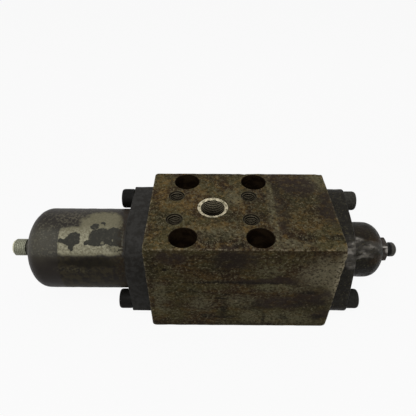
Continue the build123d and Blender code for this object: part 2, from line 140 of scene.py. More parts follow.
# The spring cover
COVER_PLATE_X = frame_box("spring_cover_screws")[0].x + SCREW_HEAD_HEIGHT
COVER_PLATE_HALF = 37.0
COVER_CORNER = 0.8
COVER_BARREL_RADIUS = 33.0
COVER_ROOT = 0.6
COVER_TIP_X = COVER_LOW.x + 2.5
COVER_DOME_DEPTH = 18.3
COVER_DOME_X = COVER_TIP_X + COVER_DOME_DEPTH
COVER_SEAT_X = COVER_DOME_X + 5.0
COVER_CAVITY_END_X = COVER_TIP_X + 10.0
COVER_CAVITY_RADIUS = 20.0
COVER_BORE_RADIUS = 25.0
COVER_BOSS_RADIUS = 10.9
COVER_BOSS_END_RADIUS = 7.45
NIPPLE_HOLE_RADIUS = 6.05
NIPPLE_HOLE_DEPTH = 7.0
PILOT_HOLE_RADIUS = 3.05

# The end cover
END_PLATE_X = frame_box("end_cover_screws")[1].x - SCREW_HEAD_HEIGHT
END_CENTRE_RADIUS = 31.9
END_FLAT = 31.0
END_EAR_RADIUS = 10.0
END_BARREL_RADIUS = 22.95
END_ROOT = 1.4
END_DOME_DEPTH = 14.9
END_SPOT_RADIUS = 11.5
END_BORE_RADIUS = 15.0
END_BORE_X = 120.0
END_HOLE_RADIUS = 6.05
END_DOME_X = END_HIGH.x - END_DOME_DEPTH * math.sqrt(1 - (END_SPOT_RADIUS / END_BARREL_RADIUS) ** 2)

SPRING_WIRE_RADIUS = 2.75

# Knocks on the block's edges and corners: place, reach and depth in millimetres
KNOCKS = [
    (86.9, -45.0, 90.0, 5.0, 1.5), (-55.1, -45.0, 90.0, 3.0, 0.8), (86.9, -45.0, 78.0, 4.0, 0.7),
    (86.9, -45.0, 63.0, 3.2, 0.6), (84.9, 45.0, 90.0, 3.5, 0.8), (33.0, -45.0, 90.0, 2.6, 0.45),
    (-18.0, -45.0, 90.0, 3.0, 0.5), (61.0, -45.0, 90.0, 2.4, 0.4), (-55.1, -45.0, 31.0, 2.4, 0.4),
    (-55.1, -45.0, 0.0, 2.6, 0.7), (86.9, -45.0, 0.0, 3.0, 0.8), (-55.1, 45.0, 90.0, 2.6, 0.7),
    (20.0, 45.0, 90.0, 3.0, 0.4),
]

# The studio
WHITE = (1.0, 1.0, 1.0)
SKY_LIGHT = 0.17
FLOOR_GLOW = 0.93
FLOOR_REACH = 3000.0
CAMERA_PLACE = (-0.00854, -0.23126, 0.28513)
# From straight down the camera is rolled, tilted up and turned aside, written from the last to the first
CAMERA_TURNS = ((0.35, "Z"), (49.75, "X"), (0.09, "Z"))
CAMERA_LENS = 34.08
STAGE_MIDDLE = (-0.01, 0.0, 0.05)

# Name, place, what it faces, width and watts of each lamp
LAMPS = (
    ("key", (-0.1, -0.5, 0.95), STAGE_MIDDLE, 0.6, 7.4),
    ("top", (0.1, 0.35, 0.95), STAGE_MIDDLE, 0.7, 2.5),
)


def shade(red, green, blue):
    """A colour given as it looks on a screen, 0 to 255, as the linear values that a shader takes."""
    parts = (part / 255 for part in (red, green, blue))
    return tuple(((c + 0.055) / 1.055) ** 2.4 if c > 0.04 else c / 12.92 for c in parts)


def length_property(name, millimetres, description):
    """A length that the panel shows in the scene's unit."""
    return bpy.props.FloatProperty(
        name=name, description=description, default=millimetres * MM, min=0.0, unit="LENGTH", precision=5
    )


def colour_property(name, colour, description):
    """A colour that the panel shows as a swatch."""
    return bpy.props.FloatVectorProperty(
        name=name, description=description, default=colour, size=3, min=0.0, max=1.0, subtype="COLOR"
    )


class ValveSizes(bpy.types.PropertyGroup):
    """Sizes of the details that the frame leaves plain."""

    block_grid: length_property("Block Grid", 2.4, "Width of the quads on the block's faces")
    edge_round: length_property("Edge Rounding", 0.75, "Mean rounding of the block's worn edges")
    edge_wear: length_property("Edge Wear", 0.5, "How much the rounding of an edge varies along it")
    cast_relief: length_property("Cast Relief", 0.14, "Unevenness of the cast covers")
    port_pitch: length_property("Port Thread Pitch", 1.814, "Pitch of the pipe thread in the top port")
    tap_pitch: length_property("Tapped Hole Pitch", 1.75, "Pitch of the flange holes and the stroke screw")
    screw_pitch: length_property("Screw Pitch", 1.5, "Pitch of the cover screws and the nipple")
    knurl_count: bpy.props.IntProperty(
        name="Knurl Ribs", description="Ribs round a cover screw's head", default=54, min=12, max=120
    )
    spring_turns: bpy.props.FloatProperty(
        name="Spring Turns", description="Turns of the main spring", default=8.0, min=3.0, max=20.0
    )


class ValveColours(bpy.types.PropertyGroup):
    """Colours of the bare metal, the rust and the paint that is left."""

    olive: colour_property("Oiled Steel", shade(60, 54, 33), "Olive brown of the block's oiled faces")
    ochre: colour_property("Ochre Stain", shade(96, 77, 44), "Yellow rust stains")
    rust: colour_property("Brown Rust", shade(45, 33, 20), "Brown rust on the block")
    remains: colour_property("Paint Remains", shade(43, 35, 30), "Purple brown remains of old paint")
    pale: colour_property("Rubbed Steel", shade(92, 88, 68), "Greenish grey of faces that are rubbed clean")
    # Bright is also the painted highlight on the thread crests of the top holes
    bright: colour_property("Bright Edge", shade(150, 140, 116), "Worn edges and thread crests")
    ring: colour_property("Port Ring", shade(186, 176, 150), "Machined ring round the port")
    # In the block's holes grime is also part of the painted shade
    grime: colour_property("Grime", shade(17, 14, 9), "Oil and dirt in holes and corners")
    charcoal: colour_property("Charcoal Paint", shade(50, 49, 47), "Dark paint of the spring cover")
    flake: colour_property("Paint Flake", shade(52, 51, 46), "Dark paint that is left on the primer")
    primer: colour_property("Primer", shade(150, 146, 124), "Beige primer under the dark paint")
    casting: colour_property("Oily Casting", shade(33, 31, 26), "Dark oily skin of the end cover")
    black: colour_property("Black Oxide", shade(13, 13, 12), "Socket head screws")
    zinc: colour_property("Zinc Plating", shade(164, 165, 146), "Yellowish green plating of the nipple")
    # Glint is a painted highlight on the nut's worn corner
    glint: colour_property("Worn Nut Corner", shade(214, 208, 200), "Bright corner of the lock nut")
    # Near-black of the adjusting screw's threaded stretch next to the nut
    soot: colour_property("Soot", shade(5, 5, 4), "Dirt in the adjusting screw's thread")
    # On the end cover's screws worn also carries painted light on the upper screw
    worn: colour_property("Worn Screw Head", shade(66, 64, 58), "Greyish worn spots on screws and the nut")
    cream: colour_property("Nipple Rim", shade(226, 222, 190), "Bright rim of the nipple's mouth")
    # Steel is also the painted highlight in the end cover's bare streaks
    steel: colour_property("Bare Steel", shade(150, 146, 138), "Plain turned steel inside")
    rubber: colour_property("Rubber", shade(18, 18, 18), "Seals")
    floor: colour_property("Floor", (0.45, 0.45, 0.45), "Studio floor")


def feed(socket, value):
    """Links a flow to an input, or sets the input's value."""
    if isinstance(value, Flow):
        socket.id_data.links.new(value.socket, socket)
    elif socket.type == "RGBA":
        socket.default_value = (*value, 1.0)
    elif socket.type == "VECTOR" and isinstance(value, float):
        socket.default_value = (value, value, value)
    else:
        socket.default_value = value


def add_node(tree, kind, inputs=None, **settings):
    """A node with its settings and inputs."""
    made = tree.nodes.new(kind)
    for key, value in settings.items():
        setattr(made, key, value)
    for key, value in (inputs or {}).items():
        feed(made.inputs[key], value)
    return made


def flows(node):
    """All that a node puts out, by its names in lower case."""
    names = [socket.name.lower().replace(" ", "_") for socket in node.outputs]
    return SimpleNamespace(**dict(zip(names, map(Flow, node.outputs))))


class Flow:
    """What a node puts out. Sums of flows add nodes: a | b is the greater of two, and a & b the less."""

    def __init__(self, socket):
        self.socket = socket

    def work(self, operation, other=0.0, swapped=False):
        """A number, or a vector where this is one, worked out from two."""
        kind = "ShaderNodeVectorMath" if self.socket.type in ("VECTOR", "RGBA") else "ShaderNodeMath"
        first, second = (other, self) if swapped else (self, other)
        return self.through(kind, {0: first, 1: second}, operation=operation)

    __add__ = partialmethod(work, "ADD")
    __sub__ = partialmethod(work, "SUBTRACT")
    __rsub__ = partialmethod(work, "SUBTRACT", swapped=True)
    __mul__ = partialmethod(work, "MULTIPLY")
    __truediv__ = partialmethod(work, "DIVIDE")
    __rtruediv__ = partialmethod(work, "DIVIDE", swapped=True)
    __or__ = partialmethod(work, "MAXIMUM")
    __and__ = partialmethod(work, "MINIMUM")
    __abs__ = partialmethod(work, "ABSOLUTE")

    def through(self, kind, inputs, output=0, **settings):
        """What a further node of the same tree makes of its inputs."""
        return Flow(add_node(self.socket.id_data, kind, inputs, **settings).outputs[output])

    def length(self):
        """The length of this vector."""
        return self.through("ShaderNodeVectorMath", {0: self}, "Value", operation="LENGTH")

    def parts(self):
        """The three parts of this vector."""
        split = add_node(self.socket.id_data, "ShaderNodeSeparateXYZ", {0: self})
        return [Flow(socket) for socket in split.outputs[:3]]

    def step(self, low, high):
        """Rises smoothly from 0 at low to 1 at high, or falls where low is above high."""
        inputs = {"Value": self, "From Min": low, "From Max": high}
        return self.through("ShaderNodeMapRange", inputs, interpolation_type="SMOOTHSTEP")

    def between(self, first, second):
        """A number that goes from first to second as this one goes from 0 to 1."""
        return self.through("ShaderNodeMix", {0: self, 2: first, 3: second}, data_type="FLOAT")

    def noise(self, size, detail=3.0, roughness=0.55, scale=1.0, output="Fac"):
        """Noise from 0 to 1 at this place, whose patches are about size across."""
        inputs = {"Vector": self, "Scale": scale / size, "Detail": detail, "Roughness": roughness}
        return self.through("ShaderNodeTexNoise", inputs, output)

    def scatter(self, size, detail):
        """A vector of noise at this place, each part from -0.5 to 0.5."""
        return self.noise(size, detail, 0.5, output="Color") - 0.5


def joined(x, y, z=0.0):
    """A vector from three numbers, the second of them a flow."""
    return y.through("ShaderNodeCombineXYZ", {0: x, 1: y, 2: z})


def most(masks):
    """The strongest of several masks."""
    return reduce(or_, masks)


def mix(factor, first, second):
    """A colour between two, which needs no node where all three are plain."""
    given = [value for value in (factor, first, second) if isinstance(value, Flow)]
    if not given:
        return tuple(a + factor * (b - a) for a, b in zip(first, second))
    return given[0].through("ShaderNodeMix", {0: factor, 6: first, 7: second}, 2, data_type="RGBA")


SOCKET_KINDS = {
    "number": "NodeSocketFloat", "length": "NodeSocketFloat", "count": "NodeSocketInt",
    "vector": "NodeSocketVector", "material": "NodeSocketMaterial", "geometry": "NodeSocketGeometry",
}


def node_group(tree_kind, name, inputs, outputs, build):
    """A node group with named sockets, made once. build turns the flows of its inputs into its outputs."""
    if name in bpy.data.node_groups:
        return bpy.data.node_groups[name]
    tree = bpy.data.node_groups.new(name, tree_kind)
    for direction, sockets in (("INPUT", inputs), ("OUTPUT", outputs)):
        for label, kind in sockets.items():
            tree.interface.new_socket(name=label, in_out=direction, socket_type=SOCKET_KINDS[kind])
    add_node(tree, "NodeGroupOutput", build(flows(add_node(tree, "NodeGroupInput"))))
    return tree


def shader_group(inputs, outputs):
    """Makes a function a shader node group of its name, built once and placed wherever it is called."""

    def decorate(build):
        def place(vector, **values):
            sockets = {"Vector": "vector", **inputs}
            group = node_group("ShaderNodeTree", build.__name__, sockets, outputs, build)
            tree = vector.socket.id_data
            return flows(add_node(tree, "ShaderNodeGroup", {"Vector": vector, **values}, node_tree=group))

        return place

    return decorate


@shader_group({"Amount": "number", "Size": "number"}, {"Vector": "vector"})
def ragged_outline(given):
    """Shifts coordinates by noise, so that what is drawn with them gets a ragged outline."""
    shift = given.vector.scatter(given.size, 4.0) * (given.amount * 2.0)
    return {"Vector": given.vector + shift}


@shader_group({"Centre": "vector", "Reach": "vector", "Soft": "number"}, {"Mask": "number"})
def patch(given):
    """A soft-edged ellipsoid: 1 inside, 0 outside."""
    away = ((given.vector - given.centre) / given.reach).length()
    return {"Mask": away.step(given.soft + 1.0, 1.0 - given.soft)}


@shader_group(
    {"Centre": "vector", "Radius": "number", "Width": "number"}, {"Rim": "number", "Inside": "number"}
)
def hole_rim(given):
    """How near a point is to an upright hole's rim, and whether it lies in the hole."""
    past = ((given.vector - given.centre) * (1.0, 1.0, 0.0)).length() - given.radius
    return {"Rim": abs(past).step(given.width, 0.0), "Inside": past.step(0.08, -0.08)}


@shader_group({"Low": "vector", "High": "vector", "Width": "number"}, {"Edge": "number"})
def box_edges(given):
    """How near a point on a box is to the box's edges: the second of its distances from the faces."""
    x, y, z = ((given.vector - given.low) & (given.high - given.vector)).parts()
    second = (x & y) | ((x | y) & z)
    return {"Edge": second.step(given.width, 0.0)}


@shader_group({}, {"Unrolled": "vector"})
def around_axis(given):
    """Coordinates unrolled from the spool axis: along it, and degrees from the front towards the top."""
    x, y, z = given.vector.parts()
    angle = (z - AXIS_HEIGHT).work("ARCTAN2", y * -1.0)
    degrees = angle * (180.0 / math.pi)
    return {"Unrolled": joined(x, degrees)}


@shader_group({"Size": "number"}, {"Broad": "number", "Medium": "number", "Fine": "number"})
def mottle(given):
    """Uneven tone at three sizes, each from 0 to 1 with a middle of 0.5."""
    rows = (("Broad", 1.0, 4.0, 0.6), ("Medium", 0.22, 4.0, 0.65), ("Fine", 0.045, 3.0, 0.7))
    place, size = given.vector, given.size
    return {label: place.noise(size, detail, rough, 1.0 / share) for label, share, detail, rough in rows}


@shader_group({"Size": "number", "Share": "number"}, {"Pit": "number"})
def rust_pits(given):
    """Rust pits: round hollows of uneven size, scattered so that only a share of the face has them."""
    inputs = {"Vector": given.vector, "Scale": 1.0 / given.size, "Randomness": 1.0}
    cells = flows(add_node(given.vector.socket.id_data, "ShaderNodeTexVoronoi", inputs))
    chance = cells.color.parts()[0]
    radius = (given.share - chance) * 0.9
    hollow = cells.distance.step(radius | 0.0001, 0.0)
    return {"Pit": hollow * given.share.work("GREATER_THAN", chance)}


@shader_group({"Squeeze": "vector", "Width": "number"}, {"Mark": "number"})
def scratches(given):
    """Thin broken marks along the direction in which the coordinates are squeezed."""
    lines = (given.vector * given.squeeze).noise(1.0, 2.0, 0.5)
    thin = abs(lines - 0.5).step(given.width, 0.0)
    return {"Mark": thin * given.vector.noise(9.0, 2.0).step(0.5, 0.62)}


def cleared_tree(owner):
    """The emptied node tree of a material or a world."""
    owner.use_nodes = True
    owner.node_tree.nodes.clear()
    return owner.node_tree


def new_material(name):
    """An empty material, its shader and its Object coordinates in millimetres."""
    material = bpy.data.materials.new(name)
    tree = cleared_tree(material)
    shader = add_node(tree, "ShaderNodeBsdfPrincipled")
    add_node(tree, "ShaderNodeOutputMaterial", {"Surface": Flow(shader.outputs[0])})
    place = Flow(add_node(tree, "ShaderNodeTexCoord").outputs["Object"])
    return material, shader, place * (1.0 / MM)


def finish_shader(shader, colour, roughness, metallic, height, relief, specular):
    """Sets a material's shader. The relief is the depth of its bump in millimetres."""
    bump = height.through("ShaderNodeBump", {"Height": height, "Distance": relief * MM, "Strength": 1.0})
    feed(shader.inputs["Base Color"], colour)
    feed(shader.inputs["Roughness"], roughness)
    feed(shader.inputs["Metallic"], metallic)
    feed(shader.inputs["Specular IOR Level"], specular)
    feed(shader.inputs["Normal"], bump)


def patches(vector, soft, rows):
    """The strongest of several patches, each a row of centre and reach."""
    return most([patch(vector, Centre=centre, Reach=reach, Soft=soft).mask for centre, reach in rows])


def on_block(top=(), front=(), depth=6.0):
    """Rows of patches on the block's top and front: a place and a reach along the face's two directions."""
    rows = [((x, y, TOP_Z), (reach_x, reach_y, depth)) for x, y, reach_x, reach_y in top]
    return rows + [((x, FRONT_Y, z), (reach_x, depth, reach_z)) for x, z, reach_x, reach_z in front]


def on_cover(*rows):
    """Rows of patches on a cover, each a place and a reach: millimetres along it and degrees round it."""
    return [((x, angle, 0.0), (length, turn, 1.0)) for x, angle, length, turn in rows]


def hole(place, centre, radius, width):
    """The rim and inside masks of an upright hole."""
    return hole_rim(place, Centre=(*centre, 0.0), Radius=radius, Width=width)


def block_finish(colours):
    """Machined steel, rusted and oil stained, with paint remains, rubbed patches, bright worn edges, and
    painted shade and highlights in its holes.
    """
    material, shader, position = new_material("block_iron")
    x, y, z = position.parts()
    top = z.step(BLOCK_HIGH.z - 1.4, BLOCK_HIGH.z - 0.4)
    ragged = ragged_outline(position, Amount=6.0, Size=11.0).vector
    fine_ragged = ragged_outline(position, Amount=1.6, Size=2.6).vector

    # The upright faces carry level smears from wiping and grinding
    smeared = position * (0.5, 0.5, 1.0)
    flow = top.through("ShaderNodeMix", {0: top, 4: smeared, 5: position}, 1, data_type="VECTOR")
    cloud = mottle(flow, Size=24.0)
    grain = mottle(position, Size=9.0)

    colour = mix(cloud.broad.step(0.42, 0.58), colours.rust, colours.olive)
    colour = mix(cloud.medium.step(0.52, 0.6) * top.between(0.3, 0.6), colour, colours.ochre)

    # Ochre stains near the left holes and round the port
    stains = patches(ragged, 0.55, on_block(
        top=[
            (-33, 3, 14, 8), (-47, 24, 5, 16), (-18, 16, 8, 10), (13, 2, 4, 14), (2, -24, 26, 5),
            (60, -14, 16, 11),
        ],
        front=[(-14, 64, 13, 6)],
    ))
    stains = stains * cloud.medium.step(0.44, 0.56).between(0.25, 0.8)
    colour = mix(stains * top.between(0.35, 0.8), colour, colours.ochre)

    # Greenish grey areas that were rubbed clean
    rubbed = patches(ragged, 0.5, on_block(
        top=[(78, 34, 11, 11), (39, 0, 3.5, 38), (-2, -29, 16, 6), (46, -39, 18, 4), (10, 12, 6, 9)],
        front=[
            (74, 66, 16, 15), (84, 58, 4, 26), (44, 49, 20, 5), (16, 33, 15, 7), (-14, 30, 8, 10),
            (26, 14, 9, 10), (52, 11, 22, 9), (36, 68, 10, 6), (-46, 38, 4, 20),
        ],
    ))
    colour = mix(rubbed * grain.medium.step(0.42, 0.56).between(0.5, 1.0) * 0.6, colour, colours.pale)
    dusty = patches(ragged, 0.6, on_block(front=[(72, 67, 15, 14), (83, 60, 5, 24)]))
    colour = mix(dusty * 0.4, colour, mix(0.6, colours.pale, colours.bright))

    # Purple brown remains of paint, with a straight border across the top
    remains = patches(ragged, 0.35, on_block(
        top=[(62, 27, 18, 13), (82, 2, 7, 22)],
        front=[
            (9, 81, 17, 11), (30, 57, 32, 3.5), (46, 58, 12, 4), (48, 31, 22, 7.5), (73, 38, 15, 10),
            (80, 16, 9, 7), (-36, 82, 12, 7),
        ],
    ))
    strip = x.step(41.2, 42.2) * x.step(56.0, 46.0) * (top * y.step(-34.0, -24.0))
    kept = (remains | strip * 0.7) * cloud.medium.step(0.58, 0.48).between(0.6, 1.0)
    colour = mix(kept * 0.94, colour, colours.remains)

    # Dark oil marks and clouds of dirt
    marks = patches(fine_ragged, 0.6, on_block(
        top=[(60, -33, 8, 4), (80, -32, 9, 3), (34.5, 15, 1.6, 4), (12, -40, 5, 4), (-10, -38, 7, 2.4)],
        front=[
            (0, 55.5, 29, 1.5), (22, 55, 26, 1), (0, 36.5, 8, 1.2), (3, 41, 6, 1), (2.5, 22, 3.2, 8),
            (4, 12.5, 10, 1.7), (-11, 13.5, 4.5, 3.2), (-40.5, 69.5, 2, 1.8), (66, 44, 8, 1.6),
            (35, 11, 1.4, 7), (51, 12, 4, 3), (78, 13, 5, 3),
        ],
        depth=3.0,
    ))
    clouds = patches(ragged, 0.6, on_block(
        top=[
            (-45, -11, 9, 14), (50, -5, 5, 26), (28, 0, 9, 20), (46, 26, 5, 12), (64, 2, 20, 26),
            (-3, -33, 12, 8), (2, 44, 20, 4), (9, -14, 7, 14),
        ],
        front=[
            (-51, 70, 5, 20), (-26, 44, 18, 4), (4, 78, 17, 10), (-6, 68, 12, 6), (26, 27, 11, 6),
            # The last two front rows darken the foot of the front face
            (70, 29, 17, 8), (-45, 4, 14, 5), (10, 2, 60, 4),
        ],
    ))
    colour = mix(marks * 0.75 | clouds * 0.45, colour, colours.grime)

    # A brown net of rust at the top right of the front face
    net = fine_ragged.noise(4.2, 4.0, 0.7).step(0.49, 0.55)
    region = patches(ragged, 0.4, on_block(front=[(44, 76, 25, 16)]))
    colour = mix(net * region * 0.8, colour, colours.rust)

    # Flecks and pits, fewest where the paint is left
    bare = 1.0 - kept * 0.8
    pits = rust_pits(position, Size=4.6, Share=0.42).pit
    specks = rust_pits(fine_ragged, Size=2.2, Share=0.5).pit
    colour = mix(grain.medium.step(0.53, 0.62) * bare * 0.5, colour, colours.pale)
    colour = mix(cloud.fine.step(0.58, 0.66) * bare * 0.4, colour, colours.bright)
    colour = mix(grain.medium.step(0.47, 0.38) * bare * 0.62, colour, colours.grime)
    sunk = (specks | pits) * bare
    colour = mix(sunk * 0.6, colour, colours.grime)

    # Bright metal on the worn edges
    edge = box_edges(fine_ragged, Low=BLOCK_LOW, High=BLOCK_HIGH, Width=1.6).edge
    lifted = edge * position.noise(4.5, 5.0, 0.75).step(0.48, 0.56)
    colour = mix(lifted * 0.4, colour, colours.bright)
    cream = patches(fine_ragged, 0.4, [((86.5, -44.0, 66.0), (3.8, 3.5, 26.0))])
    colour = mix(cream * grain.medium.step(0.44, 0.54) * 0.62, colour, colours.bright)

    # Rims of the holes in the top face, and an arc that a flange has left round the port
    inside, taps, crests = [], [], []
    for centre in MOUNT_HOLES:
        masks = hole(position, centre, MOUNT_MOUTH_RADIUS, 1.3)
        colour = mix(masks.rim * grain.medium.step(0.46, 0.56) * 0.3, colour, colours.pale)
        inside.append(masks.inside)
    for centre in TAP_HOLES:
        masks = hole(position, centre, TAP_MOUTH_RADIUS, 1.0)
        colour = mix(masks.rim * 0.3, colour, colours.pale)
        taps.append(masks.inside)
        crests.append(hole(position, centre, TAP_CREST_RADIUS, 0.6).rim)
    port = hole(position, PORT_CENTRE, PORT_MOUTH_RADIUS, 1.4)
    crests.append(hole(position, PORT_CENTRE, PORT_CREST_RADIUS, 0.7).rim)
    colour = mix(port.rim * (1.0 - port.inside) * 0.5, colour, colours.grime)
    arc = hole(position, PORT_CENTRE, 19.8, 0.6).rim * top * x.step(2.0, 10.0)
    colour = mix(arc * 0.4, colour, colours.pale)

    # Painted shade in the holes: near-black walls with rust brown in the bolt holes, and threaded walls
    # that go from grime near the top to near-black deeper down. A painted highlight lights the thread
    # crests near the top. Then the port's machined mouth
    lit = z.step(BLOCK_HIGH.z - 17.0, BLOCK_HIGH.z - 2.0)
    soot = mix(0.75, colours.rust, (0.0, 0.0, 0.0))
    wall = mix(cloud.medium.step(0.44, 0.6), soot, mix(0.5, colours.grime, colours.rust))
    colour = mix(most(inside), colour, wall)
    threaded = most([*taps, port.inside])
    gleam = lit * grain.medium.between(0.6, 1.1) * most(taps).between(0.6, 0.3)
    ridge = mix(gleam, colours.grime, colours.bright)
    colour = mix(threaded, colour, mix(most(crests), mix(lit, soot, colours.grime), ridge))
    mouth = port.inside * z.step(BLOCK_HIGH.z - 1.2, BLOCK_HIGH.z - 0.9)
    machined = mix(grain.medium.step(0.36, 0.58), colours.pale, colours.ring)
    colour = mix(mouth * 0.95, colour, machined)
    # A near-black dot where the front face has a small pit
    dent = patches(position, 0.3, on_block(front=[(-40.8, 69.3, 1.8, 1.6)], depth=3.0))
    colour = mix(dent * 0.9, colour, soot)

    metal = mouth * 0.3 | threaded * 0.45 | lifted * 0.3
    rough = cloud.medium.between(0.5, 0.75) - metal * 0.2
    scratch = scratches(position, Squeeze=(0.05, 0.9, 0.9), Width=0.012).mark
    height = grain.medium * 1.2 + grain.fine * 0.4 - sunk * 0.9 - scratch * 0.35 + kept * 0.3
    finish_shader(shader, colour, rough, metal, height, 0.22, 0.03)
    return material


def spring_cover_finish(colours):
    """Charcoal paint worn down to beige primer, with dark flakes left on it and oily dirt below, plus
    painted shade on the lower side and at the primer's borders and a painted sheen on the dome.
    """
    material, shader, position = new_material("cover_iron")
    unrolled = around_axis(position).unrolled
    x, angle, _ = unrolled.parts()
    plate = x.step(-74.2, -72.6)
    ragged = unrolled + position.scatter(5.0, 5.0) * (6.0, 11.0, 0.0)
    ragged = ragged + position.scatter(1.9, 2.0) * (2.6, 4.6, 0.0)
    soft_ragged = unrolled + position.scatter(11.0, 5.0) * (10.0, 13.0, 0.0)
    cloud = mottle(position, Size=18.0)
    grain = mottle(position, Size=8.0)

    brown = mix(0.55, colours.charcoal, colours.remains)
    lower = angle.step(38.0, 31.0) * angle.step(-120.0, -80.0)
    # Painted shade: the lower front side is painted a darker brown grey; on the top the same colour stands
    # for brown paint
    turned = lower | angle.step(66.0, 76.0) * 0.8
    charcoal = mix(cloud.medium.step(0.42, 0.6) * 0.5, colours.charcoal, brown)
    colour = mix(turned, charcoal, mix(0.3, brown, colours.grime))
    colour = mix(grain.medium.step(0.52, 0.62) * (1.0 - lower) * 0.16, colour, colours.primer)
    # Painted highlight: a faint primer-coloured sheen on the dome end where it faces front and up
    sheen = patches(soft_ragged, 0.7, on_cover((-140, 53, 18, 22)))
    colour = mix(sheen * 0.12, colour, colours.primer)

    # The primer shows on the side that faces front and up; painted shade darkens it towards its upper and
    # lower borders
    belt = x.step(-124.7, -124.0) * x.step(-74.0, -76.5)
    high = patches(soft_ragged, 0.1, on_cover((-98, 55, 44, 20)))
    upward = patches(ragged, 0.55, on_cover((-93, 78, 17, 29)))
    upward = (upward * cloud.medium.between(0.3, 1.7)).step(0.3, 0.75)
    primed = belt * (high | upward)
    sooty = mix(0.55, colours.primer, colours.olive)
    beige = mix(grain.medium.step(0.4, 0.6), sooty, colours.primer)
    border_shade = angle.step(58.0, 80.0) * 0.8 | angle.step(42.0, 34.0) * 0.7
    beige = mix(border_shade, beige, mix(0.7, colours.primer, colours.olive))
    colour = mix(primed * 0.97, colour, beige)

    # Flakes of the dark paint that stay on the primer
    flakes = patches(ragged, 0.05, on_cover(
        (-113.6, 56.5, 5.6, 9), (-120, 54.5, 6, 3.2), (-111.5, 63, 3.6, 5), (-114.6, 46.5, 2.4, 5.6),
        (-101, 52.5, 4, 3.6), (-96.5, 58.5, 4.6, 10.5), (-91.5, 60.5, 7.5, 12.5), (-83, 61, 8, 13.5),
        (-77, 60, 5, 13), (-97.8, 75, 2.8, 5.5), (-91.8, 80, 2, 3.4), (-122, 81, 3, 2.8),
        (-114.5, 83, 4.6, 2.8),
    ))
    chips = patches(ragged, 0.3, on_cover((-89.8, 52.5, 0.9, 2.2), (-82.6, 55.5, 0.7, 1.7)))
    flakes = flakes - chips * 0.8
    flecked = grain.medium.step(0.52, 0.64) * 0.08
    colour = mix(flakes * primed, colour, mix(flecked, colours.flake, colours.primer))

    # Brown band above, olive oil below, and dirt against the plate
    reddish = patches(soft_ragged, 0.4, on_cover((-118, 94, 12, 12))) * grain.medium.step(0.42, 0.58)
    colour = mix(reddish * 0.6, colour, mix(0.25, colours.remains, colours.primer))
    oily = x.step(-125.0, -123.8) * lower
    soaked = mix(cloud.medium.step(0.4, 0.6), colours.grime, colours.olive)
    colour = mix(oily * 0.4, colour, soaked)
    oil = patches(soft_ragged, 0.45, on_cover((-102, 25, 24, 6.5)))
    colour = mix(oil * 0.8, colour, colours.grime)
    dusted = patches(soft_ragged, 0.5, on_cover((-113, 14, 13, 5))) * grain.medium.step(0.48, 0.58)
    colour = mix(dusted * 0.3, colour, colours.pale)
    dirt_edge = x.step(-83.0, -75.0) * grain.medium.step(0.44, 0.56) * (1.0 - plate)
    colour = mix(dirt_edge * 0.85, colour, mix(0.5, colours.rust, colours.grime))
    spots = patches(ragged, 0.3, on_cover((-79.5, 42.5, 4, 3.4), (-84.5, 45, 2.2, 2.2)))
    colour = mix(spots * grain.medium.step(0.44, 0.54) * 0.85, colour, colours.grime)

    # The plate keeps its slate paint
    dull = mix(0.6, colours.charcoal, colours.grime)
    slate = mix(cloud.medium.step(0.42, 0.6), dull, colours.charcoal)
    colour = mix(plate, colour, mix(0.3, slate, colours.grime))

    # The nipple's boss is chipped
    boss = x.step(COVER_LOW.x + 2.2, COVER_LOW.x + 1.2)
    colour = mix(boss * 0.85, colour, colours.grime)
    colour = mix(boss * position.noise(2.2, 3.0, 0.6).step(0.5, 0.56), colour, colours.primer)

    speck = rust_pits(position, Size=2.4, Share=0.4).pit * primed.between(0.5, 1.0)
    colour = mix(speck * 0.55, colour, colours.grime)
    paint = 1.0 - primed * (1.0 - flakes)
    height = grain.medium * 0.6 + grain.fine * 0.3 + paint * 0.9 - speck * 0.5
    rough = grain.medium.between(0.4, 0.58) + (primed | oily * 0.5) * 0.25
    finish_shader(shader, colour, rough, 0.0, height, 0.18, 0.07)
    return material


def end_cover_finish(colours):
    """Dark oily casting, with streaks of bare metal on its dome and plate that are partly rubbed wear and
    partly painted highlight.
    """
    material, shader, position = new_material("end_cover_iron")
    ragged = around_axis(position).unrolled + position.scatter(7.0, 5.0) * (8.0, 34.0, 0.0)
    cloud = mottle(position, Size=15.0)
    grain = mottle(position, Size=7.0)

    dark = mix(0.55, colours.casting, colours.grime)
    colour = mix(cloud.medium.step(0.44, 0.56), dark, colours.casting)
    brown = patches(ragged, 0.5, on_cover((122, 66, 9, 10), (112, 84, 8, 14), (124, 22, 8, 8)))
    colour = mix(brown * 0.6, colour, colours.rust)
    # Bare steel streaks, stretched along the axis, on the dome and plate where they face front and up:
    # partly rubbed wear, partly painted highlight
    rubbed = patches(ragged, 0.5, on_cover(
        (118, 45, 8, 10), (125, 54, 7, 8), (99, 42, 6, 18), (108, 58, 6, 9), (113, 30, 8, 5),
    ))
    bare = rubbed * (position * (0.3, 1.0, 1.0)).noise(4.5, 3.0).step(0.42, 0.6).between(0.25, 1.0)
    colour = mix(bare * 0.85, colour, mix(0.5, colours.remains, colours.steel))
    colour = mix(cloud.broad.step(0.52, 0.42) * 0.6, colour, colours.grime)
    specks = rust_pits(position, Size=3.0, Share=0.45).pit
    colour = mix(specks * 0.6, colour, colours.grime)
    colour = mix(grain.medium.step(0.56, 0.64) * 0.3, colour, colours.pale)
    height = grain.medium + cloud.medium * 0.8 - specks * 0.6
    rough = grain.medium.step(0.4, 0.6).between(0.3, 0.55)
    finish_shader(shader, colour, rough, bare * 0.35, height, 0.5, 0.06)
    return material


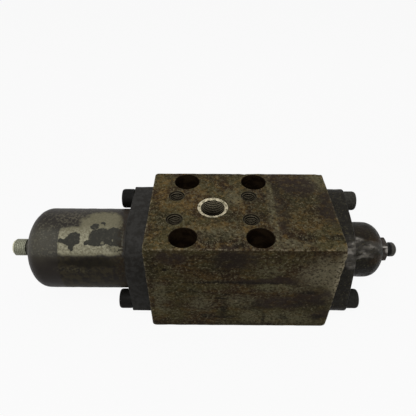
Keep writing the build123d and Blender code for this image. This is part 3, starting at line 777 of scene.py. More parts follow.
def turned_finish(name, colours, colour, dirt, size, share, metallic, roughness, specular, tones=()):
    """Plain metal or rubber with uneven dirt and fine wear. Each tone is a colour and its mask function."""
    material, shader, position = new_material(name)
    cloud = mottle(position, Size=size)
    speck = rust_pits(position, Size=size * 0.3, Share=0.35).pit
    soiled = cloud.medium.step(0.6, 0.6 - share * 0.3)
    tone = getattr(colours, colour)
    if dirt:
        layers = [(added, mask(position, cloud)) for added, mask in tones]
        for added, mask in ((dirt, soiled * share), *layers, (dirt, speck * 0.4)):
            tone = mix(mask, tone, getattr(colours, added))
    rough = cloud.medium.between(roughness - 0.08, roughness + 0.14) + soiled * 0.12
    metal = metallic - soiled * (metallic * share) if metallic else 0.0
    height = cloud.fine * 0.5 - speck * 0.4
    finish_shader(shader, tone, rough, metal, height, 0.06, specular)
    return material


def on_end_cover(position, cloud):
    """Grey spots on the screws of the end cover: worn mottling, and painted light that makes the upper
    screw lighter than the lower one; none on the other screws.
    """
    x, y, _ = position.parts()
    right = x.step(60.0, 61.0) * y.step(-5.0, 5.0).between(0.25, 0.8)
    return right * cloud.medium.step(0.42, 0.56).between(0.4, 1.0)


def threaded_stretch(position, cloud):
    """The adjusting screw's threaded stretch next to the nut, painted near-black."""
    return position.parts()[0].step(ADJUSTER_HIGH.x - 4.0, ADJUSTER_HIGH.x - 4.8) * 0.96


def rubbed_flats(position, cloud):
    """Patches of the nut that tools rubbed bright."""
    return cloud.medium.step(0.5, 0.6) * 0.6


def worn_corner_highlight(position, cloud):
    """The nut's corner that faces front and up, and the facet below it: worn, with a painted highlight."""
    x = NUT_HIGH.x - 0.5
    corner = patches(around_axis(position).unrolled, 0.8, on_cover((x, 56, 4.5, 3.2), (x, 41, 1.7, 11)))
    return corner * cloud.fine.between(0.3, 0.8)


def nipple_mouth(position, cloud):
    """The nipple's bright rim."""
    return position.parts()[0].step(NIPPLE_LOW.x + 1.6, NIPPLE_LOW.x + 0.8) * 0.85


def nipple_root(position, cloud):
    """Ragged dark dirt where the nipple leaves its boss."""
    ragged = ragged_outline(position, Amount=2.4, Size=2.2).vector
    return ragged.parts()[0].step(COVER_LOW.x - 2.6, COVER_LOW.x - 1.9) * 0.9


def background_rays(tree):
    """The rays that show the plain background: from the camera, off metal and through glass."""
    path = flows(add_node(tree, "ShaderNodeLightPath"))
    return path.is_camera_ray | path.is_glossy_ray | path.is_transmission_ray


def floor_finish(colours):
    """Plain pale floor that stays pale behind the object and keeps its shadow."""
    material = bpy.data.materials.new("studio_floor")
    tree = cleared_tree(material)
    matte = Flow(add_node(tree, "ShaderNodeBsdfDiffuse", {"Color": colours.floor}).outputs[0])
    glow = matte.through("ShaderNodeEmission", {"Color": WHITE, "Strength": 1.0})
    share = background_rays(tree) * FLOOR_GLOW
    mixed = matte.through("ShaderNodeMixShader", {0: share, 1: matte, 2: glow})
    add_node(tree, "ShaderNodeOutputMaterial", {"Surface": mixed})
    return material


NIPPLE_TONES = [("cream", nipple_mouth), ("grime", nipple_root)]
NUT_TONES = [("worn", rubbed_flats), ("glint", worn_corner_highlight)]

# Colour, dirt, size and share of its patches, metal, roughness, specular level, and tones with their masks
TURNED_FINISHES = {
    "black_screw": ("black", "grime", 5.0, 0.4, 0.0, 0.4, 0.08, [("worn", on_end_cover)]),
    "zinc_steel": ("zinc", "olive", 4.0, 0.4, 0.5, 0.4, 0.3, NIPPLE_TONES),
    "dark_steel": ("worn", "grime", 4.0, 0.6, 0.3, 0.36, 0.2, [("soot", threaded_stretch)]),
    "nut_steel": ("remains", "grime", 9.0, 0.5, 0.5, 0.3, 0.2, NUT_TONES),
    "plain_steel": ("steel", "olive", 9.0, 0.35, 0.9, 0.34, 0.5),
    "spring_steel": ("charcoal", "grime", 8.0, 0.4, 0.6, 0.36, 0.5),
    "ground_steel": ("steel", None, 12.0, 0.2, 1.0, 0.2, 0.5),
    "rubber": ("rubber", "grime", 5.0, 0.3, 0.0, 0.6, 0.3),
}
OTHER_FINISHES = {
    "block_iron": block_finish,
    "cover_iron": spring_cover_finish,
    "end_cover_iron": end_cover_finish,
    "studio_floor": floor_finish,
}


@cache
def finish(name):
    """The material of one finish, made the first time it is asked for."""
    colours = bpy.context.scene.valve_colours
    if name in TURNED_FINISHES:
        return turned_finish(name, colours, *TURNED_FINISHES[name])
    return OTHER_FINISHES[name](colours)


def new_object(name, data):
    """A new object in the scene."""
    made = bpy.data.objects.new(name, data)
    bpy.context.scene.collection.objects.link(made)
    return made


def mesh_object(name, points, faces, material, sharp_degrees=32.0):
    """A mesh object from points in millimetres, smooth but for edges sharper than the angle."""
    mesh = bpy.data.meshes.new(name)
    mesh.from_pydata([tuple(Vector(point) * MM) for point in points], [], faces)
    mesh.validate()
    mesh.materials.append(finish(material))
    made = new_object(name, mesh)
    smooth(made, sharp_degrees)
    return made


def smooth(made, sharp_degrees):
    """Shades an object smooth but for edges sharper than the angle."""
    made.data.shade_smooth()
    made.data.set_sharp_from_angle(angle=math.radians(sharp_degrees))


def outward_faces(made):
    """Makes every face of a closed object point outwards."""
    shape = bmesh.new()
    shape.from_mesh(made.data)
    bmesh.ops.recalc_face_normals(shape, faces=shape.faces)
    shape.to_mesh(made.data)
    shape.free()


def even_angles(count):
    """Angles round a circle."""
    return [2 * math.pi * index / count for index in range(count)]


def turned(profile, angles, centre=(0.0, 0.0), upright=True):
    """Rings round an upright line, or one along X, from pairs of height and radius.

    A height or a radius may be a function of the angle. The centre is where the line stands.
    """
    rings = []
    for pair in profile:
        ring = []
        for angle in angles:
            along, reach = (value(angle) if callable(value) else value for value in pair)
            across = centre[0] + reach * math.cos(angle)
            aside = centre[1] + reach * math.sin(angle)
            ring.append(Vector((across, aside, along) if upright else (along, across, aside)))
        rings.append(ring)
    return rings


def skin(rings, hollow=False):
    """Points and faces of a surface through rings that have as many points each.

    A hollow one goes on from its last ring to its first. Any other is closed by a fan at each end.
    """
    count = len(rings[0])
    points = [point for ring in rings for point in ring]
    starts = range(0, len(points), count)
    rows = list(zip(starts, starts[1:])) + ([(starts[-1], 0)] if hollow else [])
    columns = [(column, (column + 1) % count) for column in range(count)]
    faces = [(low + a, low + b, high + b, high + a) for low, high in rows for a, b in columns]
    if not hollow:
        for start, ring, order in ((0, rings[0], -1), (starts[-1], rings[-1], 1)):
            faces += [(len(points), *(start + a, start + b)[::order]) for a, b in columns]
            points.append(sum(ring, Vector()) / count)
    return points, faces


def arc_points(centre, reach, start, end, steps):
    """Points on an elliptic arc from start to end in degrees, ends included."""
    angles = [math.radians(start + (end - start) * step / steps) for step in range(steps + 1)]
    return [(centre[0] + reach[0] * math.cos(a), centre[1] + reach[1] * math.sin(a)) for a in angles]


def spread(start, end, step):
    """Even values between two, ends left out, about a step apart."""
    count = max(1, round(abs(end - start) / step))
    return [start + (end - start) * index / count for index in range(1, count)]


def joined_object(name, parts):
    """One object from several, each with its own materials."""
    if len(parts) > 1:
        with bpy.context.temp_override(active_object=parts[0], selected_editable_objects=parts):
            bpy.ops.object.join()
    made = parts[0]
    made.name = name
    made.data.name = name
    return made


def replace_mesh(made):
    """Turns what an object's modifiers give into its plain mesh."""
    bpy.context.view_layer.update()
    evaluated = made.evaluated_get(bpy.context.evaluated_depsgraph_get())
    mesh = bpy.data.meshes.new_from_object(evaluated)
    made.modifiers.clear()
    made.data = mesh


def cut(body, tool):
    """Takes a closed tool out of a body and deletes the tool."""
    outward_faces(tool)
    modifier = body.modifiers.new("cut", "BOOLEAN")
    modifier.operation = "DIFFERENCE"
    modifier.solver = "EXACT"
    modifier.object = tool
    replace_mesh(body)
    bpy.data.objects.remove(tool)


def cutters(profile, count, centres, upright=True):
    """Turned cutters of one profile, one at each centre."""
    angles = even_angles(count) if upright else [-angle for angle in even_angles(count)]
    surfaces = [skin(turned(profile, angles, centre, upright)) for centre in centres]
    return [mesh_object("cutter", *surface, "block_iron") for surface in surfaces]


def diagonal(offset):
    """Where a cover's two screws lie, in Y and in Z."""
    return [(side * offset, AXIS_HEIGHT + side * offset) for side in (-1, 1)]


def geometry_group(inputs):
    """Makes a function a Geometry Nodes tree of its name, which ends in real geometry with its material.

    A call gives the plain mesh that the tree grows from the values of its inputs, moved to its place.
    """
    sockets = {**inputs, "Material": "material"}

    def decorate(build):
        def close(given):
            shape = build(given)
            real = shape.through("GeometryNodeRealizeInstances", {"Geometry": shape})
            coated = {"Geometry": real, "Material": given.material}
            return {"Geometry": real.through("GeometryNodeSetMaterial", coated)}

        def grow(name, material, placing, *values):
            tree = node_group("GeometryNodeTree", build.__name__, sockets, {"Geometry": "geometry"}, close)
            made = new_object(name, bpy.data.meshes.new(name))
            modifier = made.modifiers.new(name, "NODES")
            modifier.node_group = tree
            keys = {item.name: item.identifier for item in tree.interface.items_tree}
            for (label, kind), value in zip(sockets.items(), (*values, finish(material))):
                modifier[keys[label]] = value * MM if kind == "length" else value
            replace_mesh(made)
            if not made.data.polygons:
                raise RuntimeError(f"{name}: the Geometry Nodes tree {tree.name} gave no faces")
            made.data.transform(placing)
            smooth(made, 30.0)
            return made

        return grow

    return decorate


def wound(profile, radius, height, turns, steps, mode):
    """A profile swept along a spiral that rises from the origin."""
    inputs = {
        "Resolution": steps, "Rotations": turns, "Start Radius": radius, "End Radius": radius,
        "Height": height, "Reverse": False,
    }
    spiral = radius.through("GeometryNodeCurveSpiral", inputs)
    path = spiral.through("GeometryNodeSetCurveNormal", {"Curve": spiral}, mode=mode)
    inputs = {"Curve": path, "Profile Curve": profile, "Fill Caps": True}
    return path.through("GeometryNodeCurveToMesh", inputs)


@geometry_group({
    "Root Radius": "length", "Crest Radius": "length", "Pitch": "length", "Turns": "number",
    "Steps per Turn": "count",
})
def thread_ridge(given):
    """A thread's ridge: a pointed profile swept along a spiral."""
    radius, pitch, turns = given.root_radius, given.pitch, given.turns
    depth, root, crest = radius - given.crest_radius, pitch * 0.44, pitch * 0.07
    corners = ((0.0, root * -1.0), (depth, crest * -1.0), (depth, crest), (0.0, root))
    points = {f"Point {number}": joined(*corner) for number, corner in enumerate(corners, 1)}
    profile = depth.through("GeometryNodeCurvePrimitiveQuadrilateral", points, mode="POINTS")
    return wound(profile, radius, pitch * turns, turns, given.steps_per_turn, "Z_UP")


@geometry_group({"Radius": "length", "Rib Depth": "length", "Rib Length": "length", "Count": "count"})
def knurled_rim(given):
    """Straight ribs set evenly round a cylinder that stands on the origin."""
    radius, depth, count = given.radius, given.rib_depth, given.count
    circle = {"Resolution": count, "Radius": radius}
    ring = radius.through("GeometryNodeCurvePrimitiveCircle", circle, mode="RADIUS")
    spots = ring.through("GeometryNodeCurveToPoints", {"Curve": ring, "Count": count})
    cone = {
        "Vertices": 4, "Side Segments": 1, "Radius Top": depth, "Radius Bottom": depth,
        "Depth": given.rib_length,
    }
    rib = radius.through("GeometryNodeMeshCone", cone)
    return spots.through("GeometryNodeInstanceOnPoints", {"Points": spots, "Instance": rib})


@geometry_group({"Mean Radius": "length", "Wire Radius": "length", "Length": "length", "Turns": "number"})
def coil_spring(given):
    """A round-wire coil, its two ends ground flat."""
    radius, length = given.mean_radius, given.length
    circle = {"Resolution": 20, "Radius": given.wire_radius}
    wire = radius.through("GeometryNodeCurvePrimitiveCircle", circle, mode="RADIUS")
    coil = wound(wire, radius, length, given.turns, 64, "MINIMUM_TWIST")
    x, y, z = Flow(add_node(radius.socket.id_data, "GeometryNodeInputPosition").outputs[0]).parts()
    ground = {"Geometry": coil, "Position": joined(x, y, z & length | 0.0)}
    return coil.through("GeometryNodeSetPosition", ground)


def upright_at(x, y, z):
    """The placing of something built along +Z whose foot is at a point in millimetres."""
    return Matrix.Translation(Vector((x, y, z)) * MM)


def on_axis(x, outward=1.0, centre=(0.0, AXIS_HEIGHT)):
    """The placing of something built along +Z, turned to run along the spool axis from x."""
    return upright_at(x, *centre) @ Matrix.Rotation(math.radians(90.0 * outward), 4, "Y")


def turned_piece(name, profile, count, material, placing, hollow=False, sharp_degrees=34.0):
    """A turned piece along +Z, moved to its place."""
    made = mesh_object(name, *skin(turned(profile, even_angles(count)), hollow), material, sharp_degrees)
    made.data.transform(placing)
    outward_faces(made)
    return made


def dress(name, parts, node, body="housing"):
    """Joins a finished piece, which rides on its body and stands for the frame's node."""
    made = joined_object(name, parts)
    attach(made, body)
    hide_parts(node)


def worn(point, mean, variation):
    """A point of the block moved onto its worn rounding, inside its box."""
    wear = mean + variation * noise.noise(point * 0.11) + 0.6 * variation * noise.noise(point * 0.45)
    radius = max(0.15, wear)
    corners = zip(point, BLOCK_LOW, BLOCK_HIGH)
    inner = Vector(min(max(value, low + radius), high - radius) for value, low, high in corners)
    outward = point - inner
    if outward.length > 1e-6:
        point = inner + outward.normalized() * min(radius, outward.length)
    centre = (BLOCK_LOW + BLOCK_HIGH) / 2
    for *place, reach, depth in KNOCKS:
        away = (point - Vector(place)).length
        if away < reach:
            point = point + (centre - point).normalized() * depth * (1 - (away / reach) ** 2) ** 2
    return point


def block_shell(sizes):
    """The block as a box of quads, finer near its edges, which are rounded unevenly by wear."""
    near = [0.0, 0.35, 0.75, 1.3, 2.2, 3.6]
    places = []
    for low, high in zip(BLOCK_LOW, BLOCK_HIGH):
        inner = spread(low + near[-1], high - near[-1], sizes.block_grid / MM)
        places.append([low + d for d in near] + inner + [high - d for d in reversed(near)])
    wear = (sizes.edge_round / MM, sizes.edge_wear / MM)
    index_of, points, faces = {}, [], []
    for axis in range(3):
        first, second = (axis + 1) % 3, (axis + 2) % 3
        quads = [(a, b) for a in range(len(places[first]) - 1) for b in range(len(places[second]) - 1)]
        for side in (0, len(places[axis]) - 1):
            for a, b in quads:
                loop = []
                for shift_a, shift_b in ((0, 0), (1, 0), (1, 1), (0, 1)):
                    key = [side] * 3
                    key[first], key[second] = a + shift_a, b + shift_b
                    key = tuple(key)
                    if key not in index_of:
                        index_of[key] = len(points)
                        points.append(worn(Vector(row[at] for row, at in zip(places, key)), *wear))
                    loop.append(index_of[key])
                faces.append(tuple(loop if side else reversed(loop)))
    return points, faces


def block_tools():
    """The cutters of the block's holes, in groups that don't meet each other."""
    top, bottom = BLOCK_HIGH.z, BLOCK_LOW.z
    left, right = BLOCK_LOW.x, BLOCK_HIGH.x
    mount = [
        (bottom - 1.0, MOUNT_MOUTH_RADIUS + 1.0), (bottom, MOUNT_MOUTH_RADIUS),
        (bottom + 0.4, MOUNT_HOLE_RADIUS), (top - 0.4, MOUNT_HOLE_RADIUS),
        (top, MOUNT_MOUTH_RADIUS), (top + 1.0, MOUNT_MOUTH_RADIUS + 1.0),
    ]
    lead = TAP_MOUTH_RADIUS - TAP_CREST_RADIUS
    tap = [
        (top - TAP_DEPTH - 3.1, 0.05), (top - TAP_DEPTH, TAP_CREST_RADIUS),
        (top - TAP_DEPTH + 1.0, TAP_WALL_RADIUS), (top - lead - 0.45, TAP_WALL_RADIUS),
        (top - lead, TAP_CREST_RADIUS), (top, TAP_MOUTH_RADIUS), (top + 1.0, TAP_MOUTH_RADIUS + 1.0),
    ]
    small = cutters(mount, 96, MOUNT_HOLES) + cutters(tap, 72, TAP_HOLES)
    for face, outward, offset, length, plate_x in (
        (left, -1.0, COVER_SCREW_OFFSET, COVER_SCREW_LENGTH, COVER_PLATE_X),
        (right, 1.0, END_SCREW_OFFSET, END_SCREW_LENGTH, END_PLATE_X),
    ):
        depth = length - abs(plate_x - face) + 2.0
        deep = face - outward * depth
        drill = [(deep - outward * 3.0, 0.05), (deep, SCREW_HOLE_RADIUS)]
        drill += [(face + outward, SCREW_HOLE_RADIUS)]
        small += cutters(drill, 40, diagonal(offset), upright=False)
    bore = [(left - 2.0, SPOOL_MOUTH_RADIUS + 2.0), (left, SPOOL_MOUTH_RADIUS)]
    bore += [(left + 1.0, SPOOL_BORE_RADIUS)]
    for start, end in SPOOL_CHAMBERS:
        bore += [(start, SPOOL_BORE_RADIUS), (start, SPOOL_CHAMBER_RADIUS)]
        bore += [(end, SPOOL_CHAMBER_RADIUS), (end, SPOOL_BORE_RADIUS)]
    bore += [(right - 1.0, SPOOL_BORE_RADIUS), (right, SPOOL_MOUTH_RADIUS)]
    bore += [(right + 2.0, SPOOL_MOUTH_RADIUS + 2.0)]
    port = [
        (top - PORT_DEPTH, PORT_DRILL_RADIUS), (top - PORT_TAP_DEPTH - 0.8, PORT_DRILL_RADIUS),
        (top - PORT_TAP_DEPTH, PORT_CREST_RADIUS), (top - PORT_TAP_DEPTH + 1.2, PORT_WALL_RADIUS),
        (top - PORT_MOUTH_DEPTH - 0.6, PORT_WALL_RADIUS), (top - PORT_MOUTH_DEPTH, PORT_CREST_RADIUS),
        (top, PORT_MOUTH_RADIUS), (top + 1.0, PORT_MOUTH_RADIUS + 1.8),
    ]
    recess = bottom + BOTTOM_RECESS_DEPTH
    underside = [(bottom - 1.0, BOTTOM_RECESS_RADIUS), (recess, BOTTOM_RECESS_RADIUS)]
    underside += [(recess, BOTTOM_PORT_RADIUS), (bottom + BOTTOM_PORT_DEPTH, BOTTOM_PORT_RADIUS)]
    return [
        joined_object("cutters", small),
        *cutters(bore, 96, [(0.0, AXIS_HEIGHT)], upright=False),
        *cutters(port, 96, [PORT_CENTRE]),
        *cutters(underside, 96, [BOTTOM_PORT_CENTRE]),
    ]


def cover_outline(inset):
    """The plate's reach by angle: a square whose corners without a screw are fully rounded."""
    half = COVER_PLATE_HALF - inset
    corner = COVER_CORNER
    bend = half - corner

    def reach(angle):
        c, s = math.cos(angle), math.sin(angle)
        flat = half / max(abs(c), abs(s))
        if c * s > 0:
            return min(flat, (2 * half - corner) / (abs(c) + abs(s)))
        along = corner * (abs(c) + abs(s))
        rounded = along + math.sqrt(max(along * along - 2 * corner * corner + bend * bend, 0.0))
        return rounded if rounded * min(abs(c), abs(s)) > corner else flat

    return reach


def end_outline(inset):
    """The plate's reach by angle: a round middle with two flats, drawn out to two round ears."""
    middle, ear, flat = END_CENTRE_RADIUS - inset, END_EAR_RADIUS - inset, END_FLAT - inset
    distance = END_SCREW_OFFSET * math.sqrt(2)
    tangent = math.acos((middle - ear) / distance)
    touch = math.atan2(ear * math.sin(tangent), distance + ear * math.cos(tangent))

    def reach(angle):
        turn = (angle - math.pi / 4) % math.pi
        turn = min(turn, math.pi - turn)
        if turn < touch:
            return distance * math.cos(turn) + math.sqrt(ear**2 - (distance * math.sin(turn)) ** 2)
        straight = middle / math.cos(tangent - turn) if turn < tangent else middle
        return min(straight, flat / math.sin(turn))

    return reach


def plate_profile(face_x, plate_x, outline, edge, grid, root, shares):
    """A cover's profile from the block's face, over its plate's rounded rim, to the root of its barrel."""
    outward = math.copysign(1.0, plate_x - face_x)
    start = face_x + 0.3 * outward
    profile = [(face_x, outline(0.3)), (start, outline(0.0))]
    profile += [(x, outline(0.0)) for x in spread(start, plate_x - outward * edge, grid)]
    for angle in (math.radians(30.0 * step) for step in range(4)):
        x = plate_x - outward * edge * (1 - math.sin(angle))
        profile.append((x, outline(edge * (1 - math.cos(angle)))))
    rim = outline(edge)
    return profile + [(plate_x, lambda a, share=share: root + (rim(a) - root) * share) for share in shares]


def bore_profile(start_x, face_x, bore, grid):
    """The end of a cover's profile: its bore up to the block's face, and the groove of its seal."""
    profile = [(x, bore) for x in (start_x, *spread(start_x, face_x, grid), face_x)]
    floor_x = face_x + math.copysign(SEAL_DEPTH, start_x - face_x)
    low, high = bore + SEAL_GAP, bore + SEAL_GAP + SEAL_WIDTH
    return profile + [(face_x, low), (floor_x, low), (floor_x, high), (face_x, high)]


def cast(rings, relief, scale):
    """Makes rings slightly uneven, towards the spool axis only, as on a casting."""
    for ring in rings:
        for index, point in enumerate(ring):
            outward = point - Vector((point.x, 0.0, AXIS_HEIGHT))
            rough = noise.noise(point * scale) + 0.5 * noise.noise(point * scale * 3.1)
            ring[index] = point - outward.normalized() * max(0.0, relief * (0.75 + rough))


def build_cover(name, node, slot, outside, inside, angles, relief, scale, plate, offset, sharp_degrees):
    """A cover from the profiles of its cast outside and its machined inside, with its two screw holes.

    The plate is where its two faces lie, and the offset how far its screws stand off the spool axis.
    """
    rings = turned(outside + inside, angles, (0.0, AXIS_HEIGHT), upright=False)
    cast(rings[2:len(outside)], relief / MM, scale)
    cover = mesh_object(name, *skin(rings, hollow=True), slot, sharp_degrees)
    outward_faces(cover)
    low, high = min(plate), max(plate)
    holes = [(low - 1.0, CLEARANCE_RADIUS), (high + 1.0, CLEARANCE_RADIUS)]
    cut(cover, joined_object("cutters", cutters(holes, 48, diagonal(offset), upright=False)))
    smooth(cover, sharp_degrees)
    dress(name, [cover], node)


def hexagon_reach(flats, turn=0.0):
    """The reach of a hexagon by angle, with a flat at the turn angle."""

    def reach(angle):
        within = (angle - turn + math.pi / 6) % (math.pi / 3) - math.pi / 6
        return flats / 2 / math.cos(within)

    return reach


def socket_screw(sizes, length, placing):
    """A knurled socket head screw along +Z with the underside of its head at the origin."""
    pitch = sizes.screw_pitch / MM
    key = hexagon_reach(SCREW_KEY)
    core, shank, head, height = SCREW_CORE_RADIUS, SCREW_RADIUS, SCREW_HEAD_RADIUS, SCREW_HEAD_HEIGHT
    profile = [
        (-length, 0.05), (-length, core - 0.4), (0.5 - length, core), (-1.6, core), (-1.0, shank),
        (0.0, shank), (0.0, head - 0.3), (0.25, head), (height - 1.1, head), (height - 0.55, head - 0.15),
        (height - 0.12, head - 0.6), (height, head - 1.1), (height, 4.95), (height - 0.35, 4.7),
        (height - 0.5, key), (height - 5.0, key), (height - 5.0, 3.6), (height - 6.2, 0.05),
    ]
    ribs_at, ridge_at = (placing @ upright_at(0.0, 0.0, z) for z in (0.9, 0.6 - length))
    turns = (length - 2.5) / pitch
    return [
        turned_piece("screw", profile, 72, "black_screw", placing),
        knurled_rim("screw_knurl", "black_screw", ribs_at, head, 0.18, 7.6, sizes.knurl_count),
        thread_ridge("screw_thread", "black_screw", ridge_at, core - 0.05, shank, pitch, turns, 40),
    ]


def soft_lamp(name, place, target, size, watts):
    """A large square lamp that faces a point."""
    lamp = bpy.data.lights.new(name, "AREA")
    lamp.shape = "SQUARE"
    lamp.size = size
    lamp.energy = watts
    made = new_object(name, lamp)
    made.location = place
    made.rotation_euler = (Vector(target) - Vector(place)).to_track_quat("-Z", "Y").to_euler()


class VALVE_OT_stage(bpy.types.Operator):
    """Set up the pale floor, the soft light and the camera"""

    bl_idname = "valve.stage"
    bl_label = "Stage"

    def execute(self, context):
        scene = context.scene
        scene.view_settings.view_transform = "Standard"
        signs = ((-1, -1), (1, -1), (1, 1), (-1, 1))
        corners = [(sx * FLOOR_REACH, sy * FLOOR_REACH, 0.0) for sx, sy in signs]
        mesh_object("studio_floor", corners, [(0, 1, 2, 3)], "studio_floor")

        scene.world = bpy.data.worlds.new("studio_light")
        tree = cleared_tree(scene.world)
        strength = background_rays(tree).between(SKY_LIGHT, 1.0)
        sky = strength.through("ShaderNodeBackground", {"Color": WHITE, "Strength": strength})
        add_node(tree, "ShaderNodeOutputWorld", {"Surface": sky})
        for lamp in LAMPS:
            soft_lamp(*lamp)

        camera = bpy.data.cameras.new("camera")
        camera.lens = CAMERA_LENS
        camera.sensor_width = 36.0
        scene.camera = new_object("camera", camera)
        turns = [Matrix.Rotation(math.radians(degrees), 4, axis) for degrees, axis in CAMERA_TURNS]
        scene.camera.matrix_world = reduce(matmul, turns, Matrix.Translation(CAMERA_PLACE))
        return {"FINISHED"}


class VALVE_OT_block(bpy.types.Operator):
    """Build the machined block with its worn edges, its holes and the threads in them"""

    bl_idname = "valve.block"
    bl_label = "Machined Block"

    def execute(self, context):
        sizes = context.scene.valve_sizes
        block = mesh_object("machined_block", *block_shell(sizes), "block_iron")
        for tool in block_tools():
            cut(block, tool)
        smooth(block, 32.0)
        port = (PORT_WALL_RADIUS + 0.05, PORT_CREST_RADIUS, sizes.port_pitch / MM, 9.0, 96)
        tap = (TAP_WALL_RADIUS + 0.05, TAP_CREST_RADIUS, sizes.tap_pitch / MM, 11.5, 64)
        threads = [(PORT_CENTRE, PORT_TAP_DEPTH, port), *((centre, TAP_DEPTH, tap) for centre in TAP_HOLES)]
        parts = [block]
        for centre, depth, values in threads:
            place = upright_at(*centre, BLOCK_HIGH.z - depth + 1.6)
            parts.append(thread_ridge("hole_thread", "block_iron", place, *values))
        dress("machined_block", parts, "valve_body")
        return {"FINISHED"}


class VALVE_OT_spring_cover(bpy.types.Operator):
    """Build the cast spring cover: plate, long barrel, dome and boss, hollow inside"""

    bl_idname = "valve.spring_cover"
    bl_label = "Spring Cover"

    def execute(self, context):
        root, turn_x, boss_x = COVER_BARREL_RADIUS + COVER_ROOT, COVER_PLATE_X - COVER_ROOT, COVER_LOW.x
        shares = (0.66, 0.33, 0.0)
        outside = plate_profile(BLOCK_LOW.x, COVER_PLATE_X, cover_outline, 0.9, 2.5, root, shares)
        outside += arc_points((turn_x, root), (COVER_ROOT, COVER_ROOT), 0.0, -90.0, 3)[1:]
        outside += [(x, COVER_BARREL_RADIUS) for x in spread(turn_x, COVER_DOME_X, 2.2)]
        stop = 180.0 - math.degrees(math.asin((COVER_BOSS_RADIUS + 0.5) / COVER_BARREL_RADIUS))
        outside += arc_points((COVER_DOME_X, 0.0), (COVER_DOME_DEPTH, COVER_BARREL_RADIUS), 90.0, stop, 22)
        outside += [(boss_x + 3.5, COVER_BOSS_RADIUS - 0.1), (boss_x + 0.3, COVER_BOSS_END_RADIUS + 0.15)]
        outside += [(boss_x, COVER_BOSS_END_RADIUS - 0.2)]
        seat_x = boss_x + NIPPLE_HOLE_DEPTH
        inside = [(boss_x, NIPPLE_HOLE_RADIUS), (seat_x, NIPPLE_HOLE_RADIUS)]
        inside += [(seat_x, PILOT_HOLE_RADIUS), (COVER_CAVITY_END_X, PILOT_HOLE_RADIUS)]
        depth = COVER_DOME_X - COVER_CAVITY_END_X
        inside += arc_points((COVER_DOME_X, 0.0), (depth, COVER_CAVITY_RADIUS), 172.0, 90.0, 10)
        inside += [(COVER_SEAT_X, COVER_CAVITY_RADIUS)]
        inside += bore_profile(COVER_SEAT_X, BLOCK_LOW.x, COVER_BORE_RADIUS, 8.0)
        shifts = (-1.6, -0.95, -0.62, -0.3, 0.3, 0.62, 0.95, 1.6)
        square = {math.radians(corner + shift) for corner in (45.0, 225.0) for shift in shifts}
        build_cover(
            "cast_spring_cover", "spring_cover", "cover_iron", outside, inside,
            sorted(square | set(even_angles(176))), context.scene.valve_sizes.cast_relief, 0.16,
            (BLOCK_LOW.x, COVER_PLATE_X), COVER_SCREW_OFFSET, 38.0,
        )
        return {"FINISHED"}


class VALVE_OT_end_cover(bpy.types.Operator):
    """Build the cast end cover: a two-eared plate, a short barrel and a dome with a spot face"""

    bl_idname = "valve.end_cover"
    bl_label = "End Cover"

    def execute(self, context):
        root, turn_x, spot_x = END_BARREL_RADIUS + END_ROOT, END_PLATE_X + END_ROOT, END_HIGH.x
        shares = (0.8, 0.6, 0.4, 0.2, 0.0)
        outside = plate_profile(BLOCK_HIGH.x, END_PLATE_X, end_outline, 1.2, 1.8, root, shares)
        outside += arc_points((turn_x, root), (END_ROOT, END_ROOT), 180.0, 270.0, 4)[1:]
        outside += [(x, END_BARREL_RADIUS) for x in spread(turn_x, END_DOME_X, 1.6)]
        stop = math.degrees(math.asin((END_SPOT_RADIUS + 0.25) / END_BARREL_RADIUS))
        outside += arc_points((END_DOME_X, 0.0), (END_DOME_DEPTH, END_BARREL_RADIUS), 90.0, stop, 18)
        inside = [(spot_x, END_SPOT_RADIUS - 0.1), (spot_x, 9.0), (spot_x, END_HOLE_RADIUS + 0.55)]
        inside += [(spot_x - 0.6, END_HOLE_RADIUS), (END_BORE_X, END_HOLE_RADIUS)]
        inside += bore_profile(END_BORE_X, BLOCK_HIGH.x, END_BORE_RADIUS, 6.0)
        build_cover(
            "cast_end_cover", "end_cover", "end_cover_iron", outside, inside, even_angles(240),
            context.scene.valve_sizes.cast_relief * 1.6, 0.2, (BLOCK_HIGH.x, END_PLATE_X),
            END_SCREW_OFFSET, 40.0,
        )
        return {"FINISHED"}


class VALVE_OT_cover_screws(bpy.types.Operator):
    """Build the four socket head screws that hold the two covers"""

    bl_idname = "valve.cover_screws"
    bl_label = "Cover Screws"

    def execute(self, context):
        for cover, plate_x, outward, offset, length in (
            ("spring_cover", COVER_PLATE_X, -1.0, COVER_SCREW_OFFSET, COVER_SCREW_LENGTH),
            ("end_cover", END_PLATE_X, 1.0, END_SCREW_OFFSET, END_SCREW_LENGTH),
        ):
            parts = []
            for centre, spin in zip(diagonal(offset), (0.35 - 0.5, 0.35 + 0.5)):
                placing = on_axis(plate_x, outward, centre) @ Matrix.Rotation(spin, 4, "Z")
                parts += socket_screw(context.scene.valve_sizes, length, placing)
            dress(cover + "_bolts", parts, cover + "_screws")
        return {"FINISHED"}


